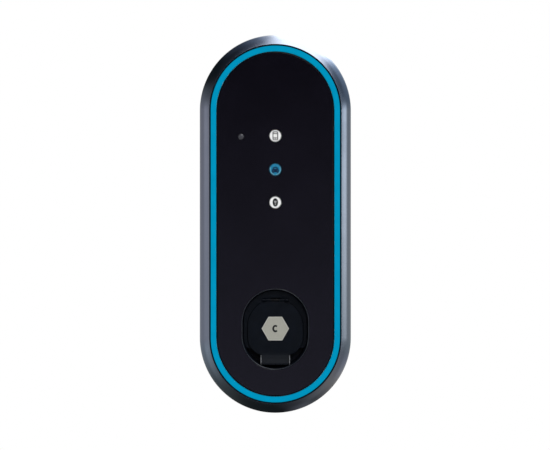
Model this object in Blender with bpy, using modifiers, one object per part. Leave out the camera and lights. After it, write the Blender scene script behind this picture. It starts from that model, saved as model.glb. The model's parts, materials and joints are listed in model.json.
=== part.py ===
"""Wall-mounted charging box for electric cars, with a lidded Type 2 socket-outlet.

The box is a tall capsule that hangs on a steel wall bracket. The origin is the middle of the
bracket's wall face: X runs to the right, Z up, and the front looks along -Y. Depth, below,
is the distance in front of the wall, so depth = -Y. All lengths are in millimetres, and the
helpers turn them into metres.
"""

import math

import bmesh
import bpy
from mathutils import Matrix, Vector

MM = 0.001
COLLECTION = "car_charging_box"

# Driving dimensions of the capsule-shaped front.
WIDTH = 180.0
HEIGHT = 450.0
DEPTH = 120.0
OUTER_R = WIDTH / 2
HALF_STRAIGHT = HEIGHT / 2 - OUTER_R
GAP = 0.3
HALF_TURN_STEPS = 18

# Radii of the bands round the front, from the edge inwards.
BEZEL_IN_R = 78.3
RING_OUT_R = 77.0
RING_IN_R = 70.0
PANEL_R = 68.5

# Depths of the layers, from the wall outwards.
BRACKET_T = 3.0
BACK_D = BRACKET_T + GAP
WALL_T = 3.0
SEAM_D = 95.0
CARRIER_D = 86.0
CARRIER_T = 2.5
CHANNEL_D = 104.0
PANEL_D = 118.5
PANEL_T = 3.0

# Icons and the light sensor on the panel.
ICON_R = 7.5
ICON_Z = {"icon_lens_phone": 104.6, "icon_lens_charge": 64.7, "icon_lens_radio": 25.6}
SENSOR_R = 3.3
SENSOR_X = -40.6
SENSOR_Z = 103.6

# Recess of the socket, and the lid in it.
SOCKET_Z = -124.8
WELL_HALF = 8.0
WELL_OUT_R = 40.15
WELL_RIM_R = 39.3
WELL_FLOOR_R = 37.2
WELL_FLOOR_D = 98.0
WELL_FLOOR_T = 2.0
FRAME_DEPTHS = (106.0, 108.8)
LID_DEPTHS = (107.2, 110.2)
LID_HALF_WIDTH = 33.0
LID_TOP_Z = -89.2
LID_BOTTOM_Z = -156.8
LID_CORNER_R = 22.0
LID_GAP = 0.8
TAB_HALF_WIDTH = 17.5
TAB_RIB = 1.5
TAB_BOTTOM_Z = -166.0
LABEL_R = 16.25
LABEL_T = 0.6

# Hinge of the lid.
HINGE_Z = -90.5
HINGE_D = 107.4
KNUCKLE_R = 2.6
PIN_R = 1.0
KNUCKLE_X = (5.4, 11.5)
LUG_X = (11.9, 15.5)

# Type 2 socket-outlet.
COLLAR_R = 31.2
COLLAR_D = 104.0
SOCKET_BACK_D = 44.0
GROOVE_R = 28.5
GROOVE_FLAT = 22.5
GROOVE_BOTTOM_D = 74.0
CORE_R = 22.5
CORE_FLAT = 17.0
CORE_D = 101.0
FLANGE_DEPTHS = (91.7, 95.7)
FLANGE_HALF = (36.0, 40.0)
SCREW_X, SCREW_DZ = 21.0, 33.0
POWER_R, SIGNAL_R = 4.6, 3.2
POWER_BORE_R, SIGNAL_BORE_R = 3.05, 1.55
CONTACTS = {
    "contact_line_1": (-15.0, 0.0, POWER_R, POWER_BORE_R),
    "contact_earth": (0.0, 0.0, POWER_R, POWER_BORE_R),
    "contact_neutral": (15.0, 0.0, POWER_R, POWER_BORE_R),
    "contact_line_2": (-8.0, -13.0, POWER_R, POWER_BORE_R),
    "contact_line_3": (8.0, -13.0, POWER_R, POWER_BORE_R),
    "contact_pilot": (-7.0, 12.0, SIGNAL_R, SIGNAL_BORE_R),
    "contact_proximity": (7.0, 12.0, SIGNAL_R, SIGNAL_BORE_R),
}

# Lock that holds the plug.
LOCK_R = 2.4
LOCK_D = 86.0
LOCK_TIP_Z = -101.5
LOCK_TOP_Z = -72.0
ACTUATOR_Z = (-88.5, -60.0)

# Posts and boards inside.
POST_XZ = [(x, z) for x in (-71.0, 71.0) for z in (-75.0, 115.0)]
POST_R = 4.5
POST_BORE_R = 1.8
BOARD_POST_XZ = [(x, z) for x in (-52.0, 52.0) for z in (-60.0, 82.0)]
BOARD_D = 18.3
BOARD_T = 1.6
HOOK_X = 32.0
HOOK_Z = 96.0
GROMMET_Z = -186.0
GROMMET_R = 11.0

# Name: (red, green, blue), roughness, metallic.
MATERIALS = {
    "bezel_metal": ((0.115, 0.125, 0.145), 0.32, 0.9),
    "panel_gloss": ((0.007, 0.006, 0.009), 0.08, 0.0),
    "black_plastic": ((0.012, 0.013, 0.016), 0.5, 0.0),
    "lid_plastic": ((0.010, 0.013, 0.018), 0.42, 0.0),
    "light_blue": ((0.003, 0.27, 0.49), 0.35, 0.0),
    "icon_white": ((0.80, 0.80, 0.80), 0.3, 0.0),
    "icon_blue": ((0.01, 0.25, 0.45), 0.3, 0.0),
    "sensor_smoke": ((0.09, 0.09, 0.10), 0.15, 0.0),
    "label_grey": ((0.42, 0.41, 0.36), 0.55, 0.0),
    "rubber_black": ((0.015, 0.015, 0.015), 0.8, 0.0),
    "steel_zinc": ((0.55, 0.56, 0.58), 0.35, 1.0),
    "steel_black": ((0.03, 0.03, 0.032), 0.4, 0.9),
    "contact_silver": ((0.75, 0.74, 0.72), 0.25, 1.0),
    "board_green": ((0.01, 0.10, 0.04), 0.45, 0.0),
    "board_white": ((0.70, 0.70, 0.68), 0.5, 0.0),
    "part_black": ((0.02, 0.02, 0.022), 0.45, 0.0),
    "part_grey": ((0.30, 0.31, 0.32), 0.5, 0.0),
    "ferrite": ((0.05, 0.05, 0.055), 0.6, 0.0),
    "copper": ((0.60, 0.28, 0.14), 0.35, 1.0),
    "wire_brown": ((0.13, 0.05, 0.02), 0.5, 0.0),
    "wire_blue": ((0.02, 0.08, 0.35), 0.5, 0.0),
    "wire_green": ((0.10, 0.30, 0.04), 0.5, 0.0),
    "wire_orange": ((0.55, 0.17, 0.03), 0.5, 0.0),
    "wire_violet": ((0.18, 0.06, 0.30), 0.5, 0.0),
}

# Local Z of a turned or flat piece points forwards, to the right, or up.
FORWARD = Matrix(((1, 0, 0), (0, 0, -1), (0, 1, 0)))
SIDEWAYS = Matrix(((0, 0, 1), (-1, 0, 0), (0, -1, 0)))
UPWARD = Matrix.Identity(3)
# Local X runs forwards, local Y up and local Z to the left, for a side view extruded across.
SIDE_VIEW = Matrix(((0, 0, -1), (-1, 0, 0), (0, 1, 0)))


# --- helpers -------------------------------------------------------------------------------


def at(x, depth, z):
    return Vector((x, -depth, z)) * MM


def make_collection(name):
    made = bpy.data.collections.new(name)
    bpy.context.scene.collection.children.link(made)
    return made


def make_material(name):
    colour, roughness, metallic = MATERIALS[name]
    material = bpy.data.materials.new(name)
    material.use_nodes = True
    shader = material.node_tree.nodes["Principled BSDF"]
    shader.inputs["Base Color"].default_value = (*colour, 1.0)
    shader.inputs["Roughness"].default_value = roughness
    shader.inputs["Metallic"].default_value = metallic
    return material


def add(name, data, material, location=(0, 0, 0), turn=UPWARD):
    """Puts a mesh or a curve in the scene. With no material it is a helper for Booleans."""
    obj = bpy.data.objects.new(name, data)
    obj.location = location
    obj.rotation_euler = turn.to_euler()
    if material is None:
        bpy.data.collections["cutters"].objects.link(obj)
        obj.hide_render = True
        obj.display_type = "WIRE"
        return obj
    data.materials.append(bpy.data.materials[material])
    bpy.data.collections[COLLECTION].objects.link(obj)
    return obj


def to_mesh(bm, name, sharp=35.0):
    bmesh.ops.recalc_face_normals(bm, faces=bm.faces)
    mesh = bpy.data.meshes.new(name)
    bm.to_mesh(mesh)
    bm.free()
    mesh.shade_smooth()
    mesh.set_sharp_from_angle(angle=math.radians(sharp))
    return mesh


def dissolve_flat(bm):
    bmesh.ops.dissolve_limit(bm, angle_limit=math.radians(0.5), verts=bm.verts, edges=bm.edges)


def bevel(obj, width, segments=2, angle=40.0):
    made = obj.modifiers.new("edge", "BEVEL")
    made.width = width * MM
    made.segments = segments
    made.limit_method = "ANGLE"
    made.angle_limit = math.radians(angle)
    return made


def boolean(obj, other, operation="DIFFERENCE"):
    made = obj.modifiers.new(f"{operation.lower()}_{other.name}", "BOOLEAN")
    made.operation = operation
    made.solver = "EXACT"
    made.object = other


def cut(obj, *others):
    for other in others:
        boolean(obj, other)


def join(obj, *others):
    for other in others:
        boolean(obj, other, "UNION")


def block(name, xs, depths, zs, material=None, edge=0.0):
    """A box between the given ends on each axis."""
    bm = bmesh.new()
    bmesh.ops.create_cube(bm, size=1.0)
    size = Vector((xs[1] - xs[0], depths[1] - depths[0], zs[1] - zs[0])) * MM
    bmesh.ops.scale(bm, vec=size, verts=bm.verts)
    middle = at(sum(xs) / 2, sum(depths) / 2, sum(zs) / 2)
    obj = add(name, to_mesh(bm, name), material, middle)
    if edge:
        bevel(obj, edge)
    return obj


def turned(name, profile, centre, turn, material=None, steps=24, ring=False):
    """Turns (radius, along) points about the local Z axis. They run down the outer side."""
    mesh = bpy.data.meshes.new(name)
    points = [(r * MM, 0.0, along * MM) for r, along in profile]
    edges = [(i, i + 1) for i in range(len(points) - 1)]
    if ring:
        edges.append((len(points) - 1, 0))
    mesh.from_pydata(points, edges, [])
    obj = add(name, mesh, material, centre, turn)
    screw = obj.modifiers.new("turn", "SCREW")
    screw.steps = screw.render_steps = steps
    screw.use_merge_vertices = True
    screw.merge_threshold = 1e-5
    screw.use_smooth_shade = True
    return obj


def rod(name, radius, alongs, centre, turn, material=None, steps=24):
    low, high = alongs
    profile = [(0.0, high), (radius, high), (radius, low), (0.0, low)]
    return turned(name, profile, centre, turn, material, steps)


def tube_ring(name, outer, inner, alongs, centre, turn, material=None, steps=24):
    low, high = alongs
    profile = [(outer, high), (outer, low), (inner, low), (inner, high)]
    return turned(name, profile, centre, turn, material, steps, ring=True)


def capsule(name, profile, half, centre_z, material=None, ring=True):
    """Sweeps (radius, depth) points round a capsule outline.

    The profile is spun half a turn about the upper end's centre, its two ends are drawn down
    to the middle, and the half is mirrored. A profile that isn't a ring starts and ends at
    radius 0.
    """
    bm = bmesh.new()
    verts = [bm.verts.new((r * MM, -depth * MM, half * MM)) for r, depth in profile]
    pairs = list(zip(verts, verts[1:]))
    if ring:
        pairs.append((verts[-1], verts[0]))
    edges = [bm.edges.new(pair) for pair in pairs]
    bmesh.ops.spin(
        bm,
        geom=verts + edges,
        cent=(0.0, 0.0, half * MM),
        axis=(0.0, -1.0, 0.0),
        angle=math.pi,
        steps=HALF_TURN_STEPS,
        use_duplicate=False,
    )
    bmesh.ops.remove_doubles(bm, verts=bm.verts, dist=1e-7)
    ends = [e for e in bm.edges if all(abs(v.co.z - half * MM) < 1e-7 for v in e.verts)]
    drawn = bmesh.ops.extrude_edge_only(bm, edges=ends)["geom"]
    moved = [v for v in drawn if isinstance(v, bmesh.types.BMVert)]
    for vert in moved:
        vert.co.z = 0.0
    bmesh.ops.mirror(bm, geom=bm.verts[:] + bm.edges[:] + bm.faces[:], axis="Z", merge_dist=1e-7)
    bmesh.ops.remove_doubles(bm, verts=bm.verts, dist=1e-7)
    if not ring:
        # Each flat face becomes one polygon, which a Boolean cuts more cleanly than a fan.
        dissolve_flat(bm)
    return add(name, to_mesh(bm, name), material, at(0, 0, centre_z))


def plate(name, outline, thickness, centre, turn, material=None):
    """A flat outline given thickness, half to each side of its plane."""
    curve = bpy.data.curves.new(name, "CURVE")
    curve.dimensions = "2D"
    curve.fill_mode = "BOTH"
    curve.extrude = thickness / 2 * MM
    spline = curve.splines.new("POLY")
    spline.points.add(len(outline) - 1)
    for point, (across, up) in zip(spline.points, outline):
        point.co = (across * MM, up * MM, 0.0, 1.0)
    spline.use_cyclic_u = True
    flat = bpy.data.objects.new(name + "_outline", curve)
    bpy.context.scene.collection.objects.link(flat)
    graph = bpy.context.evaluated_depsgraph_get()
    bm = bmesh.new()
    filled = bpy.data.meshes.new_from_object(flat.evaluated_get(graph))
    bm.from_mesh(filled)
    bpy.data.objects.remove(flat)
    bpy.data.meshes.remove(filled)
    bmesh.ops.remove_doubles(bm, verts=bm.verts, dist=1e-7)
    # The fill's triangles in each flat face become one face, so that an edge bevels cleanly.
    dissolve_flat(bm)
    return add(name, to_mesh(bm, name), material, centre, turn)


def front_plate(name, outline, depths, material=None, centre_z=0.0):
    """A plate facing forwards between two depths, with its outline as (x, z) points."""
    middle = at(0, sum(depths) / 2, centre_z)
    return plate(name, outline, depths[1] - depths[0], middle, FORWARD, material)


def side_plate(name, outline, xs, material=None):
    """A plate between two x, with its outline as (depth, z) points."""
    return plate(name, outline, xs[1] - xs[0], at(sum(xs) / 2, 0, 0), SIDE_VIEW, material)


def arc(cx, cy, radius, start, end, steps):
    """Points round a circle, between two angles in degrees."""
    angles = [math.radians(start + (end - start) * i / steps) for i in range(steps + 1)]
    return [(cx + radius * math.cos(a), cy + radius * math.sin(a)) for a in angles]


def rounded_rectangle(half_x, half_z, corner, steps=5):
    inner_x, inner_z = half_x - corner, half_z - corner
    corners = ((inner_x, inner_z), (-inner_x, inner_z), (-inner_x, -inner_z), (inner_x, -inner_z))
    points = []
    for quarter, (cx, cz) in enumerate(corners):
        points += arc(cx, cz, corner, 90 * quarter, 90 * quarter + 90, steps)
    return points


def d_outline(radius, flat, steps=22):
    """A circle cut off by a flat on top."""
    start = math.degrees(math.asin(flat / radius))
    return arc(0, 0, radius, 180 - start, 360 + start, steps)


def smooth(points, between=4):
    """Points along a Catmull-Rom curve through the given ones."""
    path = [Vector(p) for p in points]
    path = [2 * path[0] - path[1], *path, 2 * path[-1] - path[-2]]
    found = []
    for a, b, c, d in zip(path, path[1:], path[2:], path[3:]):
        for step in range(between):
            t = step / between
            turn = (2 * a - 5 * b + 4 * c - d) * t * t + (3 * b - a - 3 * c + d) * t**3
            found.append((2 * b + (c - a) * t + turn) / 2)
    return [*found, path[-2]]


def wire(name, points, radius, material, resolution=2):
    """A round wire through (x, depth, z) points."""
    curve = bpy.data.curves.new(name, "CURVE")
    curve.dimensions = "3D"
    curve.bevel_depth = radius * MM
    curve.bevel_resolution = resolution
    curve.use_fill_caps = True
    spline = curve.splines.new("POLY")
    spline.points.add(len(points) - 1)
    for point, place in zip(spline.points, points):
        point.co = (*at(*place), 1.0)
    return add(name, curve, material)


# --- casing --------------------------------------------------------------------------------


def wall_bracket():
    """Steel plate with four wall-screw holes and two hooks that the housing hangs on."""
    outline = rounded_rectangle(56.0, 140.0, 12.0)
    bracket = front_plate("wall_bracket", outline, (0.0, BRACKET_T), "steel_zinc")
    lip_d = BACK_D + WALL_T + GAP
    for side, x in (("left", -HOOK_X), ("right", HOOK_X)):
        xs = (x - 8.0, x + 8.0)
        tab = block(f"hook_tab_{side}", xs, (1.0, lip_d + 2.5), (HOOK_Z, HOOK_Z + 3.0))
        lip = block(f"hook_lip_{side}", xs, (lip_d, lip_d + 2.5), (HOOK_Z + 1, HOOK_Z + 11.0))
        join(bracket, tab, lip)
        for end, z in (("top", 122.0), ("bottom", -122.0)):
            place = at(x * 1.2, 0, z)
            hole = rod(f"wall_hole_{side}_{end}", 3.3, (-2, 8), place, FORWARD, None, 12)
            cut(bracket, hole)


def rear_housing():
    """Moulded tub: tapered wall, posts for the carrier and the power board, rear cable entry."""
    front = SEAM_D
    outer = [(0, BACK_D), (79.5, BACK_D), (83.5, 4.6), (86.0, 8.5), (88.6, 34.0), (89.4, front)]
    inner = [(86.4, front), (85.6, 34.0), (83.2, 10.0), (79.5, BACK_D + WALL_T)]
    profile = outer + inner + [(0, BACK_D + WALL_T)]
    housing = capsule("rear_housing", profile, HALF_STRAIGHT, 0, "black_plastic", ring=False)
    foot = BACK_D + 1.0
    for number, (x, z) in enumerate(POST_XZ):
        post = rod(f"post_{number}", POST_R, (foot, CARRIER_D - GAP), at(x, 0, z), FORWARD, None, 12)
        bore = rod(f"post_bore_{number}", POST_BORE_R, (60, 100), at(x, 0, z), FORWARD, None, 10)
        join(housing, post)
        cut(housing, bore)
    for number, (x, z) in enumerate(BOARD_POST_XZ):
        top = BOARD_D - GAP
        join(housing, rod(f"board_post_{number}", 4.0, (foot, top), at(x, 0, z), FORWARD, None, 12))
    for side, x in (("left", -HOOK_X), ("right", HOOK_X)):
        slot_zs = (HOOK_Z - 12.0, HOOK_Z + 3.0 + GAP)
        cut(housing, block(f"hook_slot_{side}", (x - 9, x + 9), (0, 8), slot_zs))
    cut(housing, rod("cable_hole", GROMMET_R + GAP, (0, 10), at(0, 0, GROMMET_Z), FORWARD))


def cable_grommet():
    """Rubber ring in the rear cable entry, with a groove that grips the housing's back wall."""
    back, front = BACK_D - GAP, BACK_D + WALL_T + GAP
    outer = [(15, front + 2.0), (15, front), (GROMMET_R, front), (GROMMET_R, back), (15, back)]
    inner = [(15, 1.0), (7.0, 1.0), (6.0, 3.0), (6.0, front + 6.0), (8.0, front + 6.0)]
    profile = outer + inner + [(9.5, front + 2.0)]
    turned("cable_grommet", profile, at(0, 0, GROMMET_Z), FORWARD, "rubber_black", 20, ring=True)


def bezel_profile():
    """Front frame's section: a straight side, a convex front and a thin inner lip."""
    seat = SEAM_D + 1.8
    shoulder = 104.5
    reach_r, reach_d = OUTER_R - 79.0, DEPTH - shoulder
    outer = [(OUTER_R, seat)]
    for step in range(6):
        angle = math.radians(86.0 * step / 5)
        outer.append((79.0 + reach_r * math.cos(angle), shoulder + reach_d * math.sin(angle)))
    inner = [(BEZEL_IN_R, 119.0), (BEZEL_IN_R, 106.6), (80.9, 106.6), (80.9, 114.6)]
    return outer + inner + [(85.0, 111.0), (87.2, 104.5), (87.2, seat)]


def front_bezel():
    capsule("front_bezel", bezel_profile(), HALF_STRAIGHT, 0, "bezel_metal")


def housing_gasket():
    low, high = SEAM_D + GAP, SEAM_D + 1.5
    profile = [(89.0, high), (89.0, low), (86.8, low), (86.8, high)]
    capsule("housing_gasket", profile, HALF_STRAIGHT, 0, "rubber_black")


def inner_carrier():
    """Moulded plate with a rim, which carries the front and both low-voltage boards."""
    low, high, rim_top = CARRIER_D, CARRIER_D + CARRIER_T, CHANNEL_D - GAP
    profile = [(0, low), (84.0, low), (84.0, rim_top), (81.8, rim_top), (81.8, high), (0, high)]
    carrier = capsule("inner_carrier", profile, HALF_STRAIGHT, 0, "part_grey", ring=False)
    ends = [(0, low - 5), (44.0, low - 5), (44.0, high + 5), (0, high + 5)]
    cut(carrier, capsule("carrier_window", ends, 17.0, -112.0, ring=False))
    for number, (x, z) in enumerate(POST_XZ):
        hole = rod(f"carrier_hole_{number}", 2.2, (80, 95), at(x, 0, z), FORWARD, None, 10)
        cut(carrier, hole)
    for number, (x, z) in enumerate([(x, z) for x in (-42, 42) for z in (40, 142)]):
        post = rod(f"control_post_{number}", 3.5, (62, low + 1), at(x, 0, z), FORWARD, None, 10)
        join(carrier, post)


def screw(name, x, z, head_d, length, material="steel_zinc", backwards=False):
    """A pan-head screw. Its head stands forwards of head_d, or behind it if backwards."""
    way = -1 if backwards else 1
    profile = [(0, 2.2), (2.0, 2.2), (3.2, 1.2), (3.2, 0), (1.5, 0), (1.5, -length), (0, -length)]
    if backwards:
        profile = [(r, -along) for r, along in reversed(profile)]
    slot_zs = (z - 2.0, z + 2.0)
    slot_ds = sorted((head_d + way * 1.4, head_d + way * 4.0))
    made = turned(name, profile, at(x, head_d, z), FORWARD, material, 10)
    cut(made, block(f"{name}_slot", (x - 0.5, x + 0.5), slot_ds, slot_zs))


def carrier_screws():
    for number, (x, z) in enumerate(POST_XZ):
        screw(f"carrier_screw_{number}", x, z, CARRIER_D + CARRIER_T + GAP, 12.0)


# --- lit front -----------------------------------------------------------------------------


def light_ring_channel():
    """Black channel that holds the light ring and gives the panel a ledge."""
    foot, floor, top = CHANNEL_D, 108.0, 118.1
    ledge = PANEL_D - PANEL_T - GAP
    inside = [(62.0, ledge - 2.6), (62.0, ledge), (68.8, ledge), (68.8, top), (69.6, top)]
    trough = [(69.6, floor), (77.4, floor), (77.4, top), (78.0, top), (78.0, foot + 2.2)]
    under = [(84.0, foot + 2.2), (84.0, foot), (67.6, foot), (67.6, ledge - 2.6)]
    profile = inside + trough + under
    capsule("light_ring_channel", profile, HALF_STRAIGHT, 0, "black_plastic")


def led_ring_board():
    profile = [(76.8, 109.6), (76.8, 108.3), (70.2, 108.3), (70.2, 109.6)]
    capsule("led_ring_board", profile, HALF_STRAIGHT, 0, "board_white")


def light_ring():
    """Blue diffuser with a slightly domed face."""
    low, top = 110.5, 118.9
    face = [(RING_OUT_R, top - 0.8), (RING_OUT_R - 0.7, top - 0.25), (73.5, top)]
    face += [(RING_IN_R + 0.7, top - 0.25), (RING_IN_R, top - 0.8)]
    profile = [(RING_OUT_R, low), *face, (RING_IN_R, low)]
    capsule("light_ring", profile, HALF_STRAIGHT, 0, "light_blue")


def front_panel():
    """Gloss panel with holes for the recess, the three icons and the sensor."""
    back = PANEL_D - PANEL_T
    profile = [(0, back), (PANEL_R, back), (PANEL_R, PANEL_D - 0.5), (PANEL_R - 0.5, PANEL_D)]
    profile.append((0, PANEL_D))
    panel = capsule("front_panel", profile, HALF_STRAIGHT, 0, "panel_gloss", ring=False)
    around = WELL_OUT_R + GAP
    ends = [(0, back - 5), (around, back - 5), (around, PANEL_D + 5), (0, PANEL_D + 5)]
    cut(panel, capsule("panel_window", ends, WELL_HALF, SOCKET_Z, ring=False))
    for name, z in ICON_Z.items():
        cut(panel, rod(f"{name}_hole", ICON_R + GAP, (110, 125), at(0, 0, z), FORWARD))
    sensor = at(SENSOR_X, 0, SENSOR_Z)
    cut(panel, rod("sensor_hole", SENSOR_R + GAP, (110, 125), sensor, FORWARD, None, 16))


def lens(name, radius, centre, material, steps):
    top = PANEL_D + 0.1
    low = PANEL_D - PANEL_T - 1.0
    profile = [(0, top), (radius - 0.4, top), (radius, top - 0.4), (radius, low), (0, low)]
    turned(name, profile, centre, FORWARD, material, steps)


def icon_lenses():
    for name, z in ICON_Z.items():
        material = "icon_blue" if name.endswith("charge") else "icon_white"
        lens(name, ICON_R, at(0, 0, z), material, 24)
    lens("sensor_window", SENSOR_R, at(SENSOR_X, 0, SENSOR_Z), "sensor_smoke", 16)


# --- socket recess and lid -----------------------------------------------------------------


def recess_well():
    """Tub behind the panel: a thin rim, drafted walls, and a floor with the socket's hole."""
    floor, under = WELL_FLOOR_D, WELL_FLOOR_D - WELL_FLOOR_T
    ledge = PANEL_D - PANEL_T - GAP
    inside = [(0, floor), (WELL_FLOOR_R, floor), (WELL_RIM_R, 118.1), (39.7, 118.8)]
    outside = [(WELL_OUT_R, 118.6), (WELL_OUT_R, ledge), (45.5, ledge), (45.5, ledge - 2.4)]
    outside += [(WELL_OUT_R, ledge - 2.4), (WELL_OUT_R, under), (0, under)]
    well = capsule(
        "recess_well", inside + outside, WELL_HALF, SOCKET_Z, "black_plastic", ring=False
    )
    centre = at(0, 0, SOCKET_Z)
    cut(well, rod("socket_hole", COLLAR_R + GAP, (90, 105), centre, FORWARD, None, 32))
    for number, (x, z) in enumerate(SOCKET_SCREW_XZ):
        cut(well, rod(f"well_hole_{number}", 2.0, (90, 97.2), at(x, 0, z), FORWARD, None, 10))


def lid_outline(gap, top):
    """The lid's outline, or its opening's, with the hinge tongue standing up in the middle."""
    half = LID_HALF_WIDTH + gap
    centre_z = LID_TOP_Z - LID_HALF_WIDTH
    corner = LID_CORNER_R + gap
    corner_x, corner_z = half - corner, LID_BOTTOM_Z - gap + corner
    tongue = KNUCKLE_X[1] if gap == 0 else LUG_X[1] + LID_GAP
    shoulder_z = HINGE_Z - KNUCKLE_R - LID_GAP if gap == 0 else centre_z + half * 0.84
    start = math.degrees(math.asin((shoulder_z - centre_z) / half))
    points = [(-tongue, top), (-tongue, shoulder_z)]
    points += arc(0, centre_z, half, 180 - start, 180, 8)
    points += arc(-corner_x, corner_z, corner, 180, 270, 6)
    points += arc(corner_x, corner_z, corner, 270, 360, 6)
    points += arc(0, centre_z, half, 0, start, 8)
    return points + [(tongue, shoulder_z), (tongue, top)]


def lid_frame():
    """Fixed surround of the lid, open at the bottom for fingers, with the two hinge lugs."""
    low, high = FRAME_DEPTHS
    radius = 37.7
    profile = [(0, low), (radius, low), (radius, high), (0, high)]
    frame = capsule("lid_frame", profile, WELL_HALF, SOCKET_Z, "lid_plastic", ring=False)
    opening_top = HINGE_Z + 3.4
    opening = front_plate("lid_opening", lid_outline(LID_GAP, opening_top), (low - 3, high + 3))
    finger_gap = block("finger_gap", (-50, 50), (low - 5, high + 5), (-190, -148))
    cut(frame, opening, finger_gap)
    for side, way in (("left", -1), ("right", 1)):
        xs = sorted((way * LUG_X[0], way * LUG_X[1]))
        lug = rod(f"lug_{side}", KNUCKLE_R, xs, at(0, HINGE_D, HINGE_Z), SIDEWAYS, None, 16)
        web_zs = (HINGE_Z, opening_top + 2.0)
        web = block(f"lug_web_{side}", xs, (HINGE_D - 2.2, high - 0.1), web_zs)
        join(frame, web, lug)
    cut(frame, rod("lug_bore", PIN_R + GAP, (-20, 20), at(0, HINGE_D, HINGE_Z), SIDEWAYS, None, 12))


def hinge_pin():
    ends = (-LUG_X[1], LUG_X[1])
    rod("hinge_pin", PIN_R, ends, at(0, HINGE_D, HINGE_Z), SIDEWAYS, "steel_black", 12)


def lid_spring():
    """Torsion spring round the pin, with one leg behind the frame and one behind the lid."""
    coil_r, wire_r, turns, per_turn, half_length = 1.7, 0.3, 4, 8, 3.9
    start, count = 90.0, turns * per_turn + per_turn // 2
    coil = []
    for step in range(count + 1):
        angle = math.radians(start + 360.0 * step / per_turn)
        x = -half_length + 2 * half_length * step / count
        depth, up = coil_r * math.cos(angle), coil_r * math.sin(angle)
        coil.append((x, HINGE_D + depth, HINGE_Z + up))
    fixed_leg = [(-half_length - 0.3, HINGE_D - 2.4, HINGE_Z + 5.2)]
    fixed_leg.append((-half_length - 0.15, HINGE_D - 2.2, HINGE_Z + 2.6))
    lid_leg = [(half_length + 0.3, HINGE_D - 1.5, HINGE_Z - 2.9)]
    wire("lid_spring", fixed_leg + coil + lid_leg, wire_r, "steel_black", resolution=1)


def tab_outline(face, top_z):
    """Side view of the lid's finger tab, as (depth, z): the back is shared, the face isn't."""
    back = [(110.9, TAB_BOTTOM_Z), (110.2, -163.5), (108.4, -159.0), (107.5, -154.0)]
    return [(107.5, top_z), *face, *back]


def socket_lid():
    """Hinged lid with a finger tab below and two knuckles above."""
    thickness = LID_DEPTHS[1] - LID_DEPTHS[0]
    middle = at(0, sum(LID_DEPTHS) / 2, 0)
    outline = lid_outline(0.0, LID_TOP_Z)
    lid = plate("socket_lid", outline, thickness, middle, FORWARD, "lid_plastic")
    bevel(lid, 0.9)
    web_face = [(109.9, -150.0), (110.4, -156.0), (111.4, -160.5), (112.9, -165.0)]
    web_face.append((113.2, TAB_BOTTOM_Z))
    rib_face = [(109.9, -153.0), (113.6, -157.0), (115.4, -164.8), (114.6, TAB_BOTTOM_Z)]
    half = TAB_HALF_WIDTH
    join(lid, side_plate("tab_web", tab_outline(web_face, -150.0), (-half + 0.4, half - 0.4)))
    for side, way in (("left", -1), ("right", 1)):
        rib_xs = sorted((way * (half - TAB_RIB), way * half))
        join(lid, side_plate(f"tab_rib_{side}", tab_outline(rib_face, -153.0), rib_xs))
        xs = sorted((way * KNUCKLE_X[0], way * KNUCKLE_X[1]))
        hinge = at(0, HINGE_D, HINGE_Z)
        join(lid, rod(f"knuckle_{side}", KNUCKLE_R, xs, hinge, SIDEWAYS, None, 16))
    hinge = at(0, HINGE_D, HINGE_Z)
    cut(lid, rod("knuckle_bore", PIN_R + GAP, (-14, 14), hinge, SIDEWAYS, None, 12))
    cut(lid, rod("spring_pocket", 2.3, (-KNUCKLE_X[0], KNUCKLE_X[0]), hinge, SIDEWAYS, None, 16))


def type_label():
    """Six-sided marker of the connector type."""
    low = LID_DEPTHS[1] + GAP
    outline = [(LABEL_R * math.cos(a), LABEL_R * math.sin(a)) for a in sixths()]
    front_plate("type_label", outline, (low, low + LABEL_T), "label_grey", SOCKET_Z)


def sixths():
    return [math.radians(60 * step) for step in range(6)]


def lid_seal():
    low, high = COLLAR_D + GAP, LID_DEPTHS[0] - GAP
    profile = [(30.4, high), (30.4, low + 0.8), (29.6, low), (28.9, low + 0.8), (28.4, high)]
    turned("lid_seal", profile, at(0, 0, SOCKET_Z), FORWARD, "rubber_black", 24, ring=True)


# --- socket-outlet and its lock ------------------------------------------------------------

SOCKET_SCREW_XZ = [(x, SOCKET_Z + dz) for x in (-SCREW_X, SCREW_X) for dz in (-SCREW_DZ, SCREW_DZ)]


def socket_body():
    """Type 2 outlet: a collar, a D-shaped groove for the plug, and a core with seven bores."""
    centre = at(0, 0, SOCKET_Z)
    ends = (SOCKET_BACK_D, COLLAR_D)
    body = rod("socket_body", COLLAR_R, ends, centre, FORWARD, "black_plastic", 32)
    outline = rounded_rectangle(*FLANGE_HALF, 7.0, 3)
    join(body, front_plate("socket_flange", outline, FLANGE_DEPTHS, centre_z=SOCKET_Z))
    groove = d_outline(GROOVE_R, GROOVE_FLAT)
    cut(body, front_plate("groove", groove, (GROOVE_BOTTOM_D, 120), centre_z=SOCKET_Z))
    core = d_outline(CORE_R, CORE_FLAT)
    join(body, front_plate("core", core, (GROOVE_BOTTOM_D - 4, CORE_D), centre_z=SOCKET_Z))
    for name, (x, dz, radius, _) in CONTACTS.items():
        place = at(x, 0, SOCKET_Z + dz)
        cut(body, rod(f"{name}_hole", radius + GAP, (30, 120), place, FORWARD, None, 12))
    for number, (x, z) in enumerate(SOCKET_SCREW_XZ):
        cut(body, rod(f"flange_hole_{number}", 2.0, (85, 97), at(x, 0, z), FORWARD, None, 10))
    hole = at(0, LOCK_D, 0)
    cut(body, rod("lock_hole", LOCK_R + GAP, (-105.0, -85.0), hole, UPWARD, None, 16))


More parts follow.
